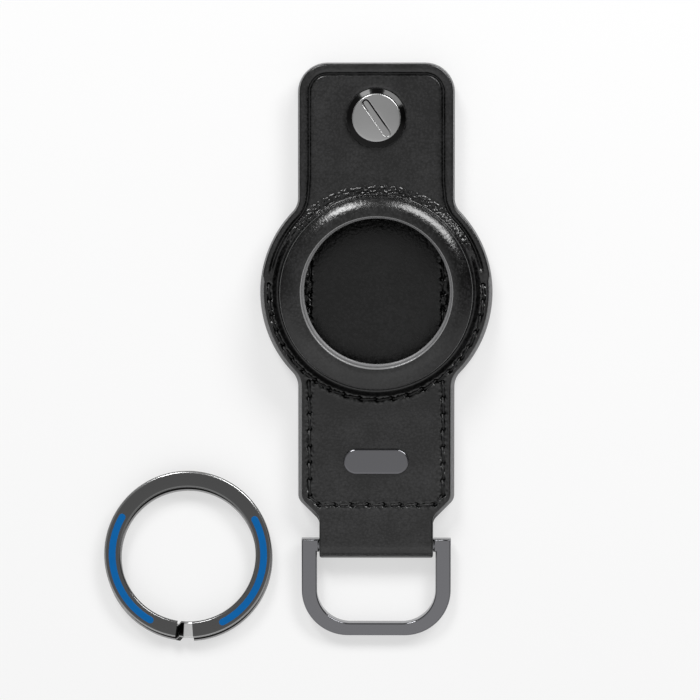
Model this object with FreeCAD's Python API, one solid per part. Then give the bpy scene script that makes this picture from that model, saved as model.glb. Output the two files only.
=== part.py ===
import FreeCAD
import Part
import math
import os

point = FreeCAD.Vector
origin = point(0, 0, 0)
x_axis = point(1, 0, 0)
z_axis = point(0, 0, 1)

# The round tag that the pocket is made for
tag_diameter = 31.9
tag_clearance = 0.25
tag_rim_height = 6.8

# Leather and lining, from the back to the front
strap_leather = 1.2
back_leather = 1.2
floor_lining = 0.7
front_lining = 0.7
flap_clearance = 0.1

# Outline of the leather
strap_width = 29.7
tab_length = 21.4
tab_corner_radius = 5.6
flange_width = 2.55
waist_radius = 3.8
strap_length = 17.4
shoulder_radius = 2.2
neck_width = 21.6
neck_length = 11.2
flap_inset = 0.3
front_inset = 0.7
lining_inset = 0.4

# Moulded ridge and its window
foot_radius = 1.4
crown_radius = 2.6
lip_cover = 1.75
lining_lip = 0.45
flap_line = 2.4

# Pressed crease on the flap
crease_margin = 1.8
crease_width = 0.6
crease_depth = 0.3
crease_start = 1.2

# Stitching
thread_diameter = 0.5
stitch_pitch = 3.0
stitch_gap = 0.5
channel_width = 0.8
front_channel_depth = 0.25
back_thread_set_in = 0.05
pocket_seam_margin = 0.8
pocket_seam_end = 0.7
column_margin = 2.2
bottom_row_drop = 0.85
top_row_margin = 2.9
row_corner = 1.7
floor_seam_end = 0.8

# Screw, washer and post that close the tab
shank_diameter = 4.0
thread_clearance = 0.08
shank_hole_clearance = 0.2
shank_tip_gap = 0.4
head_diameter = 9.2
head_height = 1.1
head_crown = 0.15
head_edge_radius = 0.3
slot_length = 7.7
slot_width = 1.2
slot_depth = 0.6
slot_angle = -55
washer_diameter = 11.1
washer_height = 0.8
washer_rim_height = 0.3
post_wall = 0.7
post_flange_diameter = 10.0
post_flange_height = 0.6
post_set_in = 0.1
post_clearance = 0.05
post_end_gap = 0.1
screw_place_share = 0.56

# Plain badge plate and the strip that holds its pins
badge_length = 12.4
badge_width = 4.8
badge_height = 0.9
badge_edge_radius = 0.35
badge_pin_diameter = 0.9
badge_pin_spacing = 7.2
badge_clearance = 0.05
badge_place_share = 0.585
retainer_length = 9.8
retainer_width = 2.8
retainer_height = 0.3

# D-ring
bar_clearance = 0.08
ring_side_gap = 0.5
ring_post_width = 2.9
ring_reach = 17.4
ring_bottom_width = 2.4
ring_corner_radius = 8.8
ring_edge_radius = 0.3
layer_end_gap = 0.6

# Split key ring that lies beside the holder
key_ring_diameter = 32.0
key_wire_width = 3.1
key_wire_height = 1.3
key_wire_radius = 0.42
key_coil_gap = 0.45
key_ring_side = -35.9
key_ring_drop = 50.1
key_end_angle = 260
key_upper_sweep = 344
key_jog_sweep = 13
key_lower_sweep = 344
key_jog_steps = 8
key_gap_samples = 234
enamel_width = 1.35
enamel_depth = 0.3
enamel_drop = 0.04
enamel_arcs = {"enamel_left": (150, 240), "enamel_right": (-63, 28)}

# Length by which a cut runs past what it cuts
overrun = 1.0

# Heights of the layers over the back face
back_panel_z = strap_leather
floor_lining_z = back_panel_z + back_leather
floor_z = floor_lining_z + floor_lining
front_z = floor_z + front_lining
face_z = front_z + strap_leather

# Radii of the pocket, from its wall out to the rim of the leather
pocket_radius = tag_diameter / 2 + tag_clearance
wall_radius = pocket_radius + front_lining + strap_leather
foot_circle = wall_radius + foot_radius
rim_radius = foot_circle + flange_width
window_radius = tag_diameter / 2 - lip_cover
ridge_z = floor_z + tag_rim_height + front_lining + strap_leather

# Places along the strap
tab_reach = rim_radius + tab_length
shoulder_reach = rim_radius + strap_length
fold_reach = shoulder_reach + neck_length
loop_radius = face_z / 2
bar_radius = loop_radius - strap_leather - bar_clearance
bar_y = loop_radius - fold_reach
bar_z = loop_radius
layer_end = -bar_y - bar_radius - layer_end_gap
screw_y = foot_circle + screw_place_share * (tab_reach - foot_circle)

# Places of the seams
pocket_seam_radius = foot_circle + pocket_seam_margin
column_x = strap_width / 2 - column_margin
bottom_row_y = -shoulder_reach - bottom_row_drop
top_row_y = tab_reach - top_row_margin
badge_y = -pocket_seam_radius + badge_place_share * (bottom_row_y + pocket_seam_radius)
cut_span = tab_reach + fold_reach

# Height of the key ring's upper turn
key_coil_rise = key_wire_height + key_coil_gap


def corner_arc(before, corner, after, radius):
    """Start, middle and end of the arc that rounds a corner."""
    to_before = (before - corner).normalize()
    to_after = (after - corner).normalize()
    half_angle = to_before.getAngle(to_after) / 2
    reach = radius / math.tan(half_angle)
    rise = radius / math.sin(half_angle) - radius
    middle = corner + (to_before + to_after).normalize() * rise
    return corner + to_before * reach, middle, corner + to_after * reach


def path_edges(points, radii):
    """Edges of an open path whose inner corners have the given radii, zero for a sharp one."""
    edges = []
    last = points[0]
    for before, corner, after, radius in zip(points, points[1:], points[2:], radii):
        start, middle, end = corner, corner, corner
        if radius:
            start, middle, end = corner_arc(before, corner, after, radius)
        edges.append(Part.makeLine(last, start))
        if radius:
            edges.append(Part.Arc(start, middle, end).toShape())
        last = end
    return edges + [Part.makeLine(last, points[-1])]


def mirrored_face(edges):
    """Face inside a right half outline and its mirror image."""
    left = [edge.mirror(origin, x_axis) for edge in edges]
    return Part.Face(Part.Wire(Part.__sortEdges__(edges + left)))


def raised(face, low, high):
    """Plate made from a flat face, between two heights."""
    plate = face.extrude(point(0, 0, high - low))
    plate.translate(point(0, 0, low))
    return plate


def shoulder_path(inset, start_y, bottom):
    """Points and corner radii from the strap's side down to the end of the neck."""
    side = strap_width / 2 - inset
    neck = neck_width / 2
    shoulder_y = inset * (math.sqrt(2) - 1) - shoulder_reach
    neck_y = shoulder_y - side + neck
    points = [
        point(side, start_y),
        point(side, shoulder_y),
        point(neck, neck_y),
        point(neck, -bottom),
        point(0, -bottom),
    ]
    return points, [shoulder_radius, shoulder_radius, 0]


def keyhole_face(inset, bottom):
    """Outline of tab, round pocket, strap and neck, drawn in by an inset."""
    side = strap_width / 2 - inset
    top = tab_reach - inset
    rim = rim_radius - inset
    waist = waist_radius + inset
    waist_y = math.sqrt((rim + waist) ** 2 - (side + waist) ** 2)
    centre = point(side + waist, waist_y)
    on_rim = centre * (rim / (rim + waist))
    inward = (point(side, waist_y) + on_rim - centre * 2).normalize()
    waist_middle = centre + inward * waist
    tab = [point(0, top), point(side, top), point(side, waist_y)]
    edges = path_edges(tab, [tab_corner_radius - inset])
    edges.append(Part.Arc(point(side, waist_y), waist_middle, on_rim).toShape())
    low_rim = point(on_rim.x, -on_rim.y)
    low_middle = point(waist_middle.x, -waist_middle.y)
    edges.append(Part.Arc(on_rim, point(rim, 0), low_rim).toShape())
    edges.append(Part.Arc(low_rim, low_middle, point(side, -waist_y)).toShape())
    points, radii = shoulder_path(inset, -waist_y, bottom)
    return mirrored_face(edges + path_edges(points, radii))


def strap_face(bottom):
    """Outline of the straight strap up the back."""
    side = strap_width / 2
    points, radii = shoulder_path(0, 0, bottom)
    points = [point(0, tab_reach), point(side, tab_reach)] + points[1:]
    return mirrored_face(path_edges(points, [tab_corner_radius] + radii))


def slice_between(low_y, high_y):
    """Block over the whole width and height between two places along Y."""
    corner = point(-cut_span, low_y, -overrun)
    return Part.makeBox(2 * cut_span, high_y - low_y, ridge_z + 2 * overrun, corner)


def lower_half(shape):
    return shape.common(slice_between(-cut_span, flap_line))


def upper_half(shape):
    return shape.common(slice_between(flap_line + flap_clearance, cut_span))


def disc(radius, low, high, x=0, y=0):
    return Part.makeCylinder(radius, high - low, point(x, y, low))


def obround(start, end, width, low, high):
    """Plate with two straight sides and round ends, centred on a line."""
    along = (end - start).normalize() * (width / 2)
    side = point(-along.y, along.x)
    edges = [
        Part.makeLine(start + side, end + side),
        Part.Arc(end + side, end + along, end - side).toShape(),
        Part.makeLine(end - side, start - side),
        Part.Arc(start - side, start - along, start + side).toShape(),
    ]
    return raised(Part.Face(Part.Wire(edges)), low, high)


def ridge_edges(depth, window):
    """Section of the ridge from its foot to the window, at a depth under the leather's face."""
    foot_centre = point(foot_circle, 0, face_z + foot_radius)
    crown_centre = point(wall_radius - crown_radius, 0, ridge_z - crown_radius)
    foot = foot_radius + depth
    crown = crown_radius - depth
    slant = math.sqrt(1 / 2)
    foot_start = foot_centre - point(0, 0, foot)
    foot_middle = foot_centre - point(foot, 0, foot) * slant
    foot_end = foot_centre - point(foot, 0, 0)
    crown_start = crown_centre + point(crown, 0, 0)
    crown_middle = crown_centre + point(crown, 0, crown) * slant
    crown_end = crown_centre + point(0, 0, crown)
    lip = point(window, 0, ridge_z - depth)
    edges = [
        Part.Arc(foot_start, foot_middle, foot_end).toShape(),
        Part.makeLine(foot_end, crown_start),
        Part.Arc(crown_start, crown_middle, crown_end).toShape(),
        Part.makeLine(crown_end, lip),
    ]
    return edges, foot_start, lip


def front_shell(inset, outer_depth, inner_depth, window):
    """Flat front sheet with the moulded ridge, between two depths under the face."""
    outer, outer_foot, outer_lip = ridge_edges(outer_depth, window)
    inner, inner_foot, inner_lip = ridge_edges(inner_depth, window)
    ends = [Part.makeLine(outer_foot, inner_foot), Part.makeLine(outer_lip, inner_lip)]
    section = Part.Face(Part.Wire(Part.__sortEdges__(outer + inner + ends)))
    ridge = section.revolve(origin, z_axis, 360)
    low, high = face_z - inner_depth, face_z - outer_depth
    sheet = raised(keyhole_face(inset, -bar_y), low, high)
    sheet = sheet.cut(disc(foot_circle, low - overrun, high + overrun))
    return sheet.fuse(ridge).removeSplitter()


def stitch(start, end, z):
    """Length of thread with round ends, at a height."""
    radius = thread_diameter / 2
    lift = point(0, 0, z)
    along = (end - start).normalize() * radius
    side = point(-along.y, along.x)
    first, last = start + along + lift, end - along + lift
    slant = math.sqrt(1 / 2)
    edges = [
        Part.Arc(first - along, first + (side - along) * slant, first + side).toShape(),
        Part.makeLine(first + side, last + side),
        Part.Arc(last + side, last + (side + along) * slant, last + along).toShape(),
        Part.makeLine(last + along, first - along),
    ]
    return Part.Face(Part.Wire(edges)).revolve(first, along, 360)


def run_stitches(points, z):
    """Stitches along the straight runs of a seam, evenly spaced in each run."""
    stitches = []
    for start, end in zip(points, points[1:]):
        count = max(1, round(start.distanceToPoint(end) / stitch_pitch))
        step = (end - start) / count
        gap = (end - start).normalize() * (stitch_gap / 2)
        for index in range(count):
            first = start + step * index
            stitches.append(stitch(first + gap, first + step - gap, z))
    return stitches


def run_channels(points, low, high):
    """Channels pressed along the straight runs of a seam."""
    runs = zip(points, points[1:])
    return [obround(start, end, channel_width, low, high) for start, end in runs]


def arc_place(radius, degrees):
    angle = math.radians(degrees)
    return point(radius * math.cos(angle), radius * math.sin(angle))


def strap_seam_points():
    """Seam down both sides of the strap and across its foot."""
    top = -math.sqrt(pocket_seam_radius ** 2 - column_x ** 2) - channel_width
    right = [point(column_x, bottom_row_y + row_corner), point(column_x, top)]
    left = [point(-column_x, top), point(-column_x, bottom_row_y + row_corner)]
    foot = [
        point(row_corner - column_x, bottom_row_y),
        point(column_x - row_corner, bottom_row_y),
    ]
    return left + foot + right


def tab_seam_points(low_y):
    """Seam up both sides of the back strap and across the tab."""
    return [
        point(-column_x, low_y),
        point(-column_x, top_row_y - row_corner),
        point(row_corner - column_x, top_row_y),
        point(column_x - row_corner, top_row_y),
        point(column_x, top_row_y - row_corner),
        point(column_x, low_y),
    ]


def floor_seam_points():
    return tab_seam_points(floor_seam_end - math.sqrt(pocket_radius ** 2 - column_x ** 2))


def back_seam_points():
    foot = strap_seam_points()[1:-1]
    return tab_seam_points(bottom_row_y + row_corner) + foot[::-1][1:]


def pocket_seam_end_angle():
    return math.degrees(math.asin((flap_line - pocket_seam_end) / pocket_seam_radius))


def pocket_channel():
    """Ring-shaped channel round the sewn half of the pocket."""
    low, high = face_z - front_channel_depth, face_z + overrun
    ring = disc(pocket_seam_radius + channel_width / 2, low, high)
    ring = ring.cut(disc(pocket_seam_radius - channel_width / 2, low, high))
    return ring.common(slice_between(-cut_span, flap_line - pocket_seam_end))


def badge_pin_places():
    return [-badge_pin_spacing / 2, badge_pin_spacing / 2]


def badge_line(length, width):
    """End points of the line along which a badge piece lies."""
    reach = (length - width) / 2
    return point(-reach, badge_y), point(reach, badge_y)


def make_front_panel():
    panel = lower_half(front_shell(front_inset, 0, strap_leather, window_radius))
    cuts = run_channels(strap_seam_points(), face_z - front_channel_depth, face_z + overrun)
    cuts.append(pocket_channel())
    hole = badge_pin_diameter / 2 + badge_clearance
    for x in badge_pin_places():
        cuts.append(disc(hole, front_z - overrun, face_z + overrun, x, badge_y))
    return panel.cut(cuts).removeSplitter()


def shank_hole(low, high):
    return disc(shank_diameter / 2 + shank_hole_clearance, low, high, 0, screw_y)


def make_front_flap():
    flap = upper_half(front_shell(flap_inset, 0, strap_leather, window_radius))
    low, high = face_z - crease_depth, face_z + overrun
    middle = flap_inset + crease_margin
    crease = raised(keyhole_face(middle - crease_width / 2, -bar_y), low, high)
    inside = keyhole_face(middle + crease_width / 2, -bar_y)
    crease = crease.cut(raised(inside, low - overrun, high + overrun))
    crease = crease.common(slice_between(flap_line + crease_start, cut_span))
    return flap.cut([crease, shank_hole(front_z - overrun, high)]).removeSplitter()


def lining_shell():
    depth = strap_leather + front_lining
    return front_shell(lining_inset, strap_leather, depth, window_radius - lining_lip)


def retainer_low():
    return front_z - retainer_height


def make_front_lining():
    start, end = badge_line(retainer_length, retainer_width)
    width = retainer_width + 2 * badge_clearance
    low = retainer_low() - badge_clearance
    pocket = obround(start, end, width, low, front_z + overrun)
    past_bar = slice_between(-cut_span, -layer_end)
    return lower_half(lining_shell()).cut([pocket, past_bar]).removeSplitter()


def make_flap_lining():
    low = floor_z - overrun
    reach = 2 * cut_span
    under = Part.makeBox(reach, reach, floor_z + flap_clearance - low, point(-cut_span, -cut_span, low))
    cuts = [under, shank_hole(low, face_z)]
    return upper_half(lining_shell()).cut(cuts).removeSplitter()


def make_strap_loop():
    """Half tube of leather round the D-ring's bar."""
    start = point(-neck_width / 2, bar_y, bar_z)
    tube = Part.makeCylinder(loop_radius, neck_width, start, x_axis)
    tube = tube.cut(Part.makeCylinder(loop_radius - strap_leather, neck_width, start, x_axis))
    return tube.common(slice_between(-cut_span, bar_y))


def post_barrel_radius():
    return shank_diameter / 2 + thread_clearance + post_wall


def barrel_hole(low, high):
    return disc(post_barrel_radius() + post_clearance, low, high, 0, screw_y)


def post_flange_top():
    return post_set_in + post_flange_height


def make_back_strap():
    strap = raised(strap_face(-bar_y), 0, strap_leather)
    cuts = run_channels(back_seam_points(), -overrun, back_thread_set_in + thread_diameter)
    recess = post_flange_diameter / 2 + post_clearance
    cuts.append(disc(recess, -overrun, post_flange_top(), 0, screw_y))
    cuts.append(barrel_hole(0, strap_leather + overrun))
    return strap.cut(cuts).removeSplitter()


def make_back_panel():
    panel = raised(keyhole_face(0, layer_end), back_panel_z, floor_lining_z)
    return panel.cut(barrel_hole(back_panel_z - overrun, floor_lining_z + overrun))


def make_pocket_lining():
    lining = raised(keyhole_face(lining_inset / 2, layer_end), floor_lining_z, floor_z)
    cuts = run_channels(floor_seam_points(), floor_z - thread_diameter, floor_z + overrun)
    cuts.append(barrel_hole(floor_lining_z - overrun, floor_z + overrun))
    return lining.cut(cuts).removeSplitter()


def make_screw_post():
    """Flanged post, set into the back, with the bore for the screw."""
    top = floor_z - post_end_gap
    post = disc(post_flange_diameter / 2, post_set_in, post_flange_top(), 0, screw_y)
    post = post.fuse(disc(post_barrel_radius(), post_set_in, top, 0, screw_y))
    bore = shank_diameter / 2 + thread_clearance
    return post.cut(disc(bore, post_flange_top(), top + overrun, 0, screw_y)).removeSplitter()


def make_screw_washer():
    """Domed washer, flat under the head and rounded down to its rim."""
    bore = shank_diameter / 2 + shank_hole_clearance
    seat = head_diameter / 2
    rim = washer_diameter / 2
    rim_z = face_z + washer_rim_height
    top_z = face_z + washer_height
    slant = math.sqrt(1 / 2)
    dome = point(seat + (rim - seat) * slant, 0, rim_z + (top_z - rim_z) * slant)
    edges = [
        Part.makeLine(point(bore, 0, face_z), point(rim, 0, face_z)),
        Part.makeLine(point(rim, 0, face_z), point(rim, 0, rim_z)),
        Part.Arc(point(rim, 0, rim_z), dome, point(seat, 0, top_z)).toShape(),
        Part.makeLine(point(seat, 0, top_z), point(bore, 0, top_z)),
        Part.makeLine(point(bore, 0, top_z), point(bore, 0, face_z)),
    ]
    washer = Part.Face(Part.Wire(edges)).revolve(origin, z_axis, 360)
    washer.translate(point(0, screw_y, 0))
    return washer


def make_closure_screw():
    """Slotted screw with a slightly domed head."""
    shank = shank_diameter / 2
    tip_z = post_flange_top() + shank_tip_gap
    seat_z = face_z + washer_height
    head = head_diameter / 2
    edge_z = seat_z + head_height - head_edge_radius
    flat = head - head_edge_radius
    round_middle = math.sqrt(1 / 2) * head_edge_radius
    rim_top = point(flat, 0, seat_z + head_height)
    crown_top = point(0, 0, rim_top.z + head_crown)
    crown_radius_of_head = (flat ** 2 + head_crown ** 2) / (2 * head_crown)
    half_way = math.sqrt(crown_radius_of_head ** 2 - (flat / 2) ** 2)
    crown_middle = point(flat / 2, 0, crown_top.z - crown_radius_of_head + half_way)
    edges = path_edges(
        [
            point(0, 0, tip_z),
            point(shank, 0, tip_z),
            point(shank, 0, seat_z),
            point(head, 0, seat_z),
            point(head, 0, edge_z),
        ],
        [0, 0, 0],
    )
    rounded = point(flat + round_middle, 0, edge_z + round_middle)
    edges.append(Part.Arc(point(head, 0, edge_z), rounded, rim_top).toShape())
    edges.append(Part.Arc(rim_top, crown_middle, crown_top).toShape())
    edges.append(Part.makeLine(crown_top, point(0, 0, tip_z)))
    screw = Part.Face(Part.Wire(edges)).revolve(origin, z_axis, 360)
    screw.translate(point(0, screw_y, 0))
    reach = arc_place((slot_length - slot_width) / 2, slot_angle)
    middle = point(0, screw_y)
    slot_low = seat_z + head_height - slot_depth
    slot = obround(middle - reach, middle + reach, slot_width, slot_low, crown_top.z + overrun)
    return screw.cut(slot)


def make_badge():
    """Plain pill-shaped plate with two pins."""
    start, end = badge_line(badge_length, badge_width)
    top = face_z + badge_height
    plate = obround(start, end, badge_width, face_z, top)
    upper = [edge for edge in plate.Edges if edge.CenterOfMass.z > top - badge_edge_radius]
    plate = plate.makeFillet(badge_edge_radius, upper)
    for x in badge_pin_places():
        plate = plate.fuse(disc(badge_pin_diameter / 2, retainer_low(), top - badge_edge_radius, x, badge_y))
    return plate.removeSplitter()


def make_badge_retainer():
    start, end = badge_line(retainer_length, retainer_width)
    strip = obround(start, end, retainer_width, retainer_low(), front_z)
    for x in badge_pin_places():
        strip = strip.cut(disc(badge_pin_diameter / 2, front_z - overrun, front_z + overrun, x, badge_y))
    return strip


def make_pocket_seam():
    """Stitches round the sewn half of the pocket."""
    z = face_z - front_channel_depth + thread_diameter / 2
    sweep = 180 + 2 * pocket_seam_end_angle()
    count = round(math.radians(sweep) * pocket_seam_radius / stitch_pitch)
    first = 180 - pocket_seam_end_angle()
    gap = math.degrees(stitch_gap / pocket_seam_radius) / 2
    stitches = []
    for index in range(count):
        start = first + sweep * index / count + gap
        end = first + sweep * (index + 1) / count - gap
        places = arc_place(pocket_seam_radius, start), arc_place(pocket_seam_radius, end)
        stitches.append(stitch(*places, z))
    return Part.makeCompound(stitches)


def make_strap_seam():
    z = face_z - front_channel_depth + thread_diameter / 2
    return Part.makeCompound(run_stitches(strap_seam_points(), z))


def make_floor_seam():
    return Part.makeCompound(run_stitches(floor_seam_points(), floor_z - thread_diameter / 2))


def make_back_seam():
    z = back_thread_set_in + thread_diameter / 2
    return Part.makeCompound(run_stitches(back_seam_points(), z))


def ring_droop():
    """Angle, in degrees, at which the D-ring's far edge rests on the surface under the holder."""
    far = ring_reach - ring_edge_radius
    half = bar_radius - ring_edge_radius
    reach = math.hypot(far, half)
    return math.degrees(math.asin((bar_z - ring_edge_radius) / reach) - math.atan2(half, far))


def make_d_ring():
    """Bent frame with a round bar in the fold of the strap."""
    inner = neck_width / 2 + ring_side_gap
    outer = inner + ring_post_width
    outer_path = [
        point(0, bar_radius),
        point(outer, bar_radius),
        point(outer, -ring_reach),
        point(0, -ring_reach),
    ]
    inner_low = ring_bottom_width - ring_reach
    inner_path = [
        point(0, bar_radius + overrun),
        point(inner, bar_radius + overrun),
        point(inner, inner_low),
        point(0, inner_low),
    ]
    inner_radius = ring_corner_radius - ring_bottom_width
    frame = raised(mirrored_face(path_edges(outer_path, [0, ring_corner_radius])), -bar_radius, bar_radius)
    opening = mirrored_face(path_edges(inner_path, [0, inner_radius]))
    frame = frame.cut(raised(opening, -bar_radius - overrun, bar_radius + overrun))
    rims = [edge for edge in frame.Edges if abs(edge.CenterOfMass.z) > bar_radius - ring_edge_radius]
    frame = frame.makeFillet(ring_edge_radius, rims)
    bar_reach = inner + ring_post_width / 2
    bar = Part.makeCylinder(bar_radius, 2 * bar_reach, point(-bar_reach, 0, 0), x_axis)
    ring = frame.fuse(bar).removeSplitter()
    ring.rotate(origin, x_axis, ring_droop())
    ring.translate(point(0, bar_y, bar_z))
    return ring


def key_section(degrees, low_z):
    """Closed section of the flat key ring wire at an angle round the ring."""
    half_width = key_wire_width / 2
    half_height = key_wire_height / 2
    path = [
        point(0, half_height),
        point(half_width, half_height),
        point(half_width, -half_height),
        point(0, -half_height),
    ]
    section = mirrored_face(path_edges(path, [key_wire_radius, key_wire_radius])).OuterWire
    section.rotate(origin, x_axis, 90)
    section.translate(point(key_ring_diameter / 2 - half_width, 0, low_z + half_height))
    section.rotate(origin, z_axis, degrees)
    return section


def key_wire_place(travel):
    """Angle and height of the wire after it has gone some degrees round from its upper end."""
    share = min(1, max(0, (travel - key_upper_sweep) / key_jog_sweep))
    eased = share * share * (3 - 2 * share)
    return key_end_angle - travel, key_coil_rise * (1 - eased)


def make_key_ring():
    """Two flat turns of one wire, with a jog from the upper turn to the lower."""
    jog_end = key_upper_sweep + key_jog_sweep
    upper = Part.Face(key_section(*key_wire_place(0))).revolve(origin, z_axis, -key_upper_sweep)
    lower = Part.Face(key_section(*key_wire_place(jog_end))).revolve(origin, z_axis, -key_lower_sweep)
    steps = [index / key_jog_steps for index in range(key_jog_steps + 1)]
    places = [key_wire_place(key_upper_sweep + step * key_jog_sweep) for step in steps]
    jog = Part.makeLoft([key_section(*place) for place in places], True, True)
    ring = upper.fuse([jog, lower]).removeSplitter()
    ring = ring.cut([enamel_fill(*arc, overrun) for arc in enamel_arcs.values()])
    ring.translate(point(key_ring_side, -key_ring_drop, 0))
    return ring


def key_ring_gap():
    """Least gap between the turns, on points of the wire's outline about a turn apart."""
    whole = key_upper_sweep + key_jog_sweep + key_lower_sweep
    outlines = []
    for index in range(key_gap_samples + 1):
        travel = whole * index / key_gap_samples
        section = key_section(*key_wire_place(travel))
        outlines.append((travel, [vertex.Point for vertex in section.Vertexes]))
    gaps = []
    for travel, outline in outlines:
        for other_travel, other in outlines:
            if abs(other_travel - travel - 360) < key_jog_sweep * 2:
                gaps += [math.dist(place, far) for place in outline for far in other]
    return min(gaps)


def enamel_fill(first, last, over):
    """Round-ended arc sunk in the upper face of the key ring, up to a height over that face."""
    top = key_coil_rise + key_wire_height
    low = top - enamel_depth
    middle = (key_ring_diameter - key_wire_width) / 2
    arc = disc(middle + enamel_width / 2, low, top + over)
    arc = arc.cut(disc(middle - enamel_width / 2, low, top + over))
    inner = middle - enamel_width
    outer = middle + enamel_width
    corners = [
        point(inner, 0, low),
        point(outer, 0, low),
        point(outer, 0, top + over),
        point(inner, 0, top + over),
        point(inner, 0, low),
    ]
    wedge = Part.Face(Part.makePolygon(corners)).revolve(origin, z_axis, last - first)
    wedge.rotate(origin, z_axis, first)
    fill = arc.common(wedge)
    for degrees in (first, last):
        end = arc_place(middle, degrees)
        fill = fill.fuse(disc(enamel_width / 2, low, top + over, end.x, end.y))
    return fill.removeSplitter()


def make_enamel(name):
    fill = enamel_fill(*enamel_arcs[name], -enamel_drop)
    fill.translate(point(key_ring_side, -key_ring_drop, 0))
    return fill


nodes = {
    "front_panel": make_front_panel(),
    "front_flap": make_front_flap(),
    "front_lining": make_front_lining(),
    "flap_lining": make_flap_lining(),
    "strap_loop": make_strap_loop(),
    "back_strap": make_back_strap(),
    "back_panel": make_back_panel(),
    "pocket_lining": make_pocket_lining(),
    "screw_post": make_screw_post(),
    "screw_washer": make_screw_washer(),
    "closure_screw": make_closure_screw(),
    "badge": make_badge(),
    "badge_retainer": make_badge_retainer(),
    "pocket_seam": make_pocket_seam(),
    "strap_seam": make_strap_seam(),
    "floor_seam": make_floor_seam(),
    "back_seam": make_back_seam(),
    "d_ring": make_d_ring(),
    "key_ring": make_key_ring(),
    "enamel_left": make_enamel("enamel_left"),
    "enamel_right": make_enamel("enamel_right"),
}

os.makedirs("parts", exist_ok=True)
for name, shape in nodes.items():
    shape.exportStep(f"parts/{name}.step")
    print(name, len(shape.Solids), shape.isValid(), round(shape.Volume, 3))
print("least gap between the key ring's turns", round(key_ring_gap(), 3))
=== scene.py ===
import math

import bmesh
import bpy
from bpy.props import FloatProperty, FloatVectorProperty, PointerProperty
from mathutils import Matrix, Vector, kdtree, noise
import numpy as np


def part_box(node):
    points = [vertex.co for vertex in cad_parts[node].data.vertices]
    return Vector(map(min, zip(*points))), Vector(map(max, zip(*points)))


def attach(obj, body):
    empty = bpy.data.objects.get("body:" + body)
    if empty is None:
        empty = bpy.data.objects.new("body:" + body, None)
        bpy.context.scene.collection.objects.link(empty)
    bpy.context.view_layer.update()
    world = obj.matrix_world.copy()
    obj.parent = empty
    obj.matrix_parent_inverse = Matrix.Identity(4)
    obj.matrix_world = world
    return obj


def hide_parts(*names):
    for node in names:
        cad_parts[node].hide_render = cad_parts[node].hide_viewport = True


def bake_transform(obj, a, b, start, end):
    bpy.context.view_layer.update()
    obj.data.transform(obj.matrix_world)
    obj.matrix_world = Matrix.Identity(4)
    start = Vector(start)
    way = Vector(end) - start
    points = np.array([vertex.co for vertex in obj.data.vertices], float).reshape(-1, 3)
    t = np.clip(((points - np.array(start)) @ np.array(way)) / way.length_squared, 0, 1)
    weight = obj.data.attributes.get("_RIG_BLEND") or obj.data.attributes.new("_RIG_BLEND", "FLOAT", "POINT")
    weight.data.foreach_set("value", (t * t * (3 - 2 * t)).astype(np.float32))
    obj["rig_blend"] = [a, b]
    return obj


bl_info = {
    "name": "Leather Tag Holder",
    "version": (1, 0, 0),
    "blender": (4, 5, 0),
    "location": "View3D > Sidebar > Tag Holder",
    "description": "Finishes a leather tag holder and its key ring round their packed frame",
    "category": "Add Mesh",
}

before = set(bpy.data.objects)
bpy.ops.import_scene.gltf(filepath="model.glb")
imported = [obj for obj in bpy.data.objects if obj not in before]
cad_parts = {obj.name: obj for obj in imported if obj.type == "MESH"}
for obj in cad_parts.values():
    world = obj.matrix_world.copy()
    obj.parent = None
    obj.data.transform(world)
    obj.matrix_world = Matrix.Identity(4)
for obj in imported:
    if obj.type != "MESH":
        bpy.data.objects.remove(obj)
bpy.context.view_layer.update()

# Boxes of the frame's nodes, from which the pieces take their sizes and places
back_low, back_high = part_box("back_panel")
strap_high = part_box("back_strap")[1]
fold_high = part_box("strap_loop")[1]
panel_low, panel_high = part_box("front_panel")
flap_low, flap_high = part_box("front_flap")
lining_low, lining_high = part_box("front_lining")
floor_low, floor_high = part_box("pocket_lining")
screw_low, screw_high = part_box("closure_screw")
washer_low, washer_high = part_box("screw_washer")
post_low, post_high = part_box("screw_post")
badge_low, badge_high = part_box("badge")
d_ring_low, d_ring_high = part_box("d_ring")
key_low, key_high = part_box("key_ring")

# Leather: heights of the layers, and how far each is drawn in from the widest one
rim_radius = back_high.x
tab_reach = back_high.y
strap_half = strap_high.x
neck_half = fold_high.x
fold_y = fold_high.y
face_z = fold_high.z
fold_z = face_z / 2
front_z = panel_low.z
leather = face_z - front_z
ridge_z = panel_high.z
floor_z = floor_high.z
layer_end = back_low.y
front_inset = rim_radius - panel_high.x
flap_inset = tab_reach - flap_high.y
lining_inset = rim_radius - lining_high.x
floor_inset = rim_radius - floor_high.x

# Metal: places and outer sizes
screw_y = (screw_low.y + screw_high.y) / 2
head_radius = (screw_high.x - screw_low.x) / 2
washer_radius = (washer_high.x - washer_low.x) / 2
flange_radius = (post_high.x - post_low.x) / 2
badge_y = (badge_low.y + badge_high.y) / 2
badge_half_length = (badge_high.x - badge_low.x) / 2
badge_half_width = (badge_high.y - badge_low.y) / 2
d_ring_half = d_ring_high.x
key_centre = (key_low + key_high) / 2
key_radius = (key_high.y - key_low.y) / 2

# Counts that set how finely the round stretches are divided
line_steps = 10
corner_steps = 10
rim_steps = 64
bend_steps = 6
ring_steps = 288
head_steps = 192
refine_passes = 12
bore_steps = 48
crown_steps = 24
merge_distance = 0.000002
longest_edge = 0.0016

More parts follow.
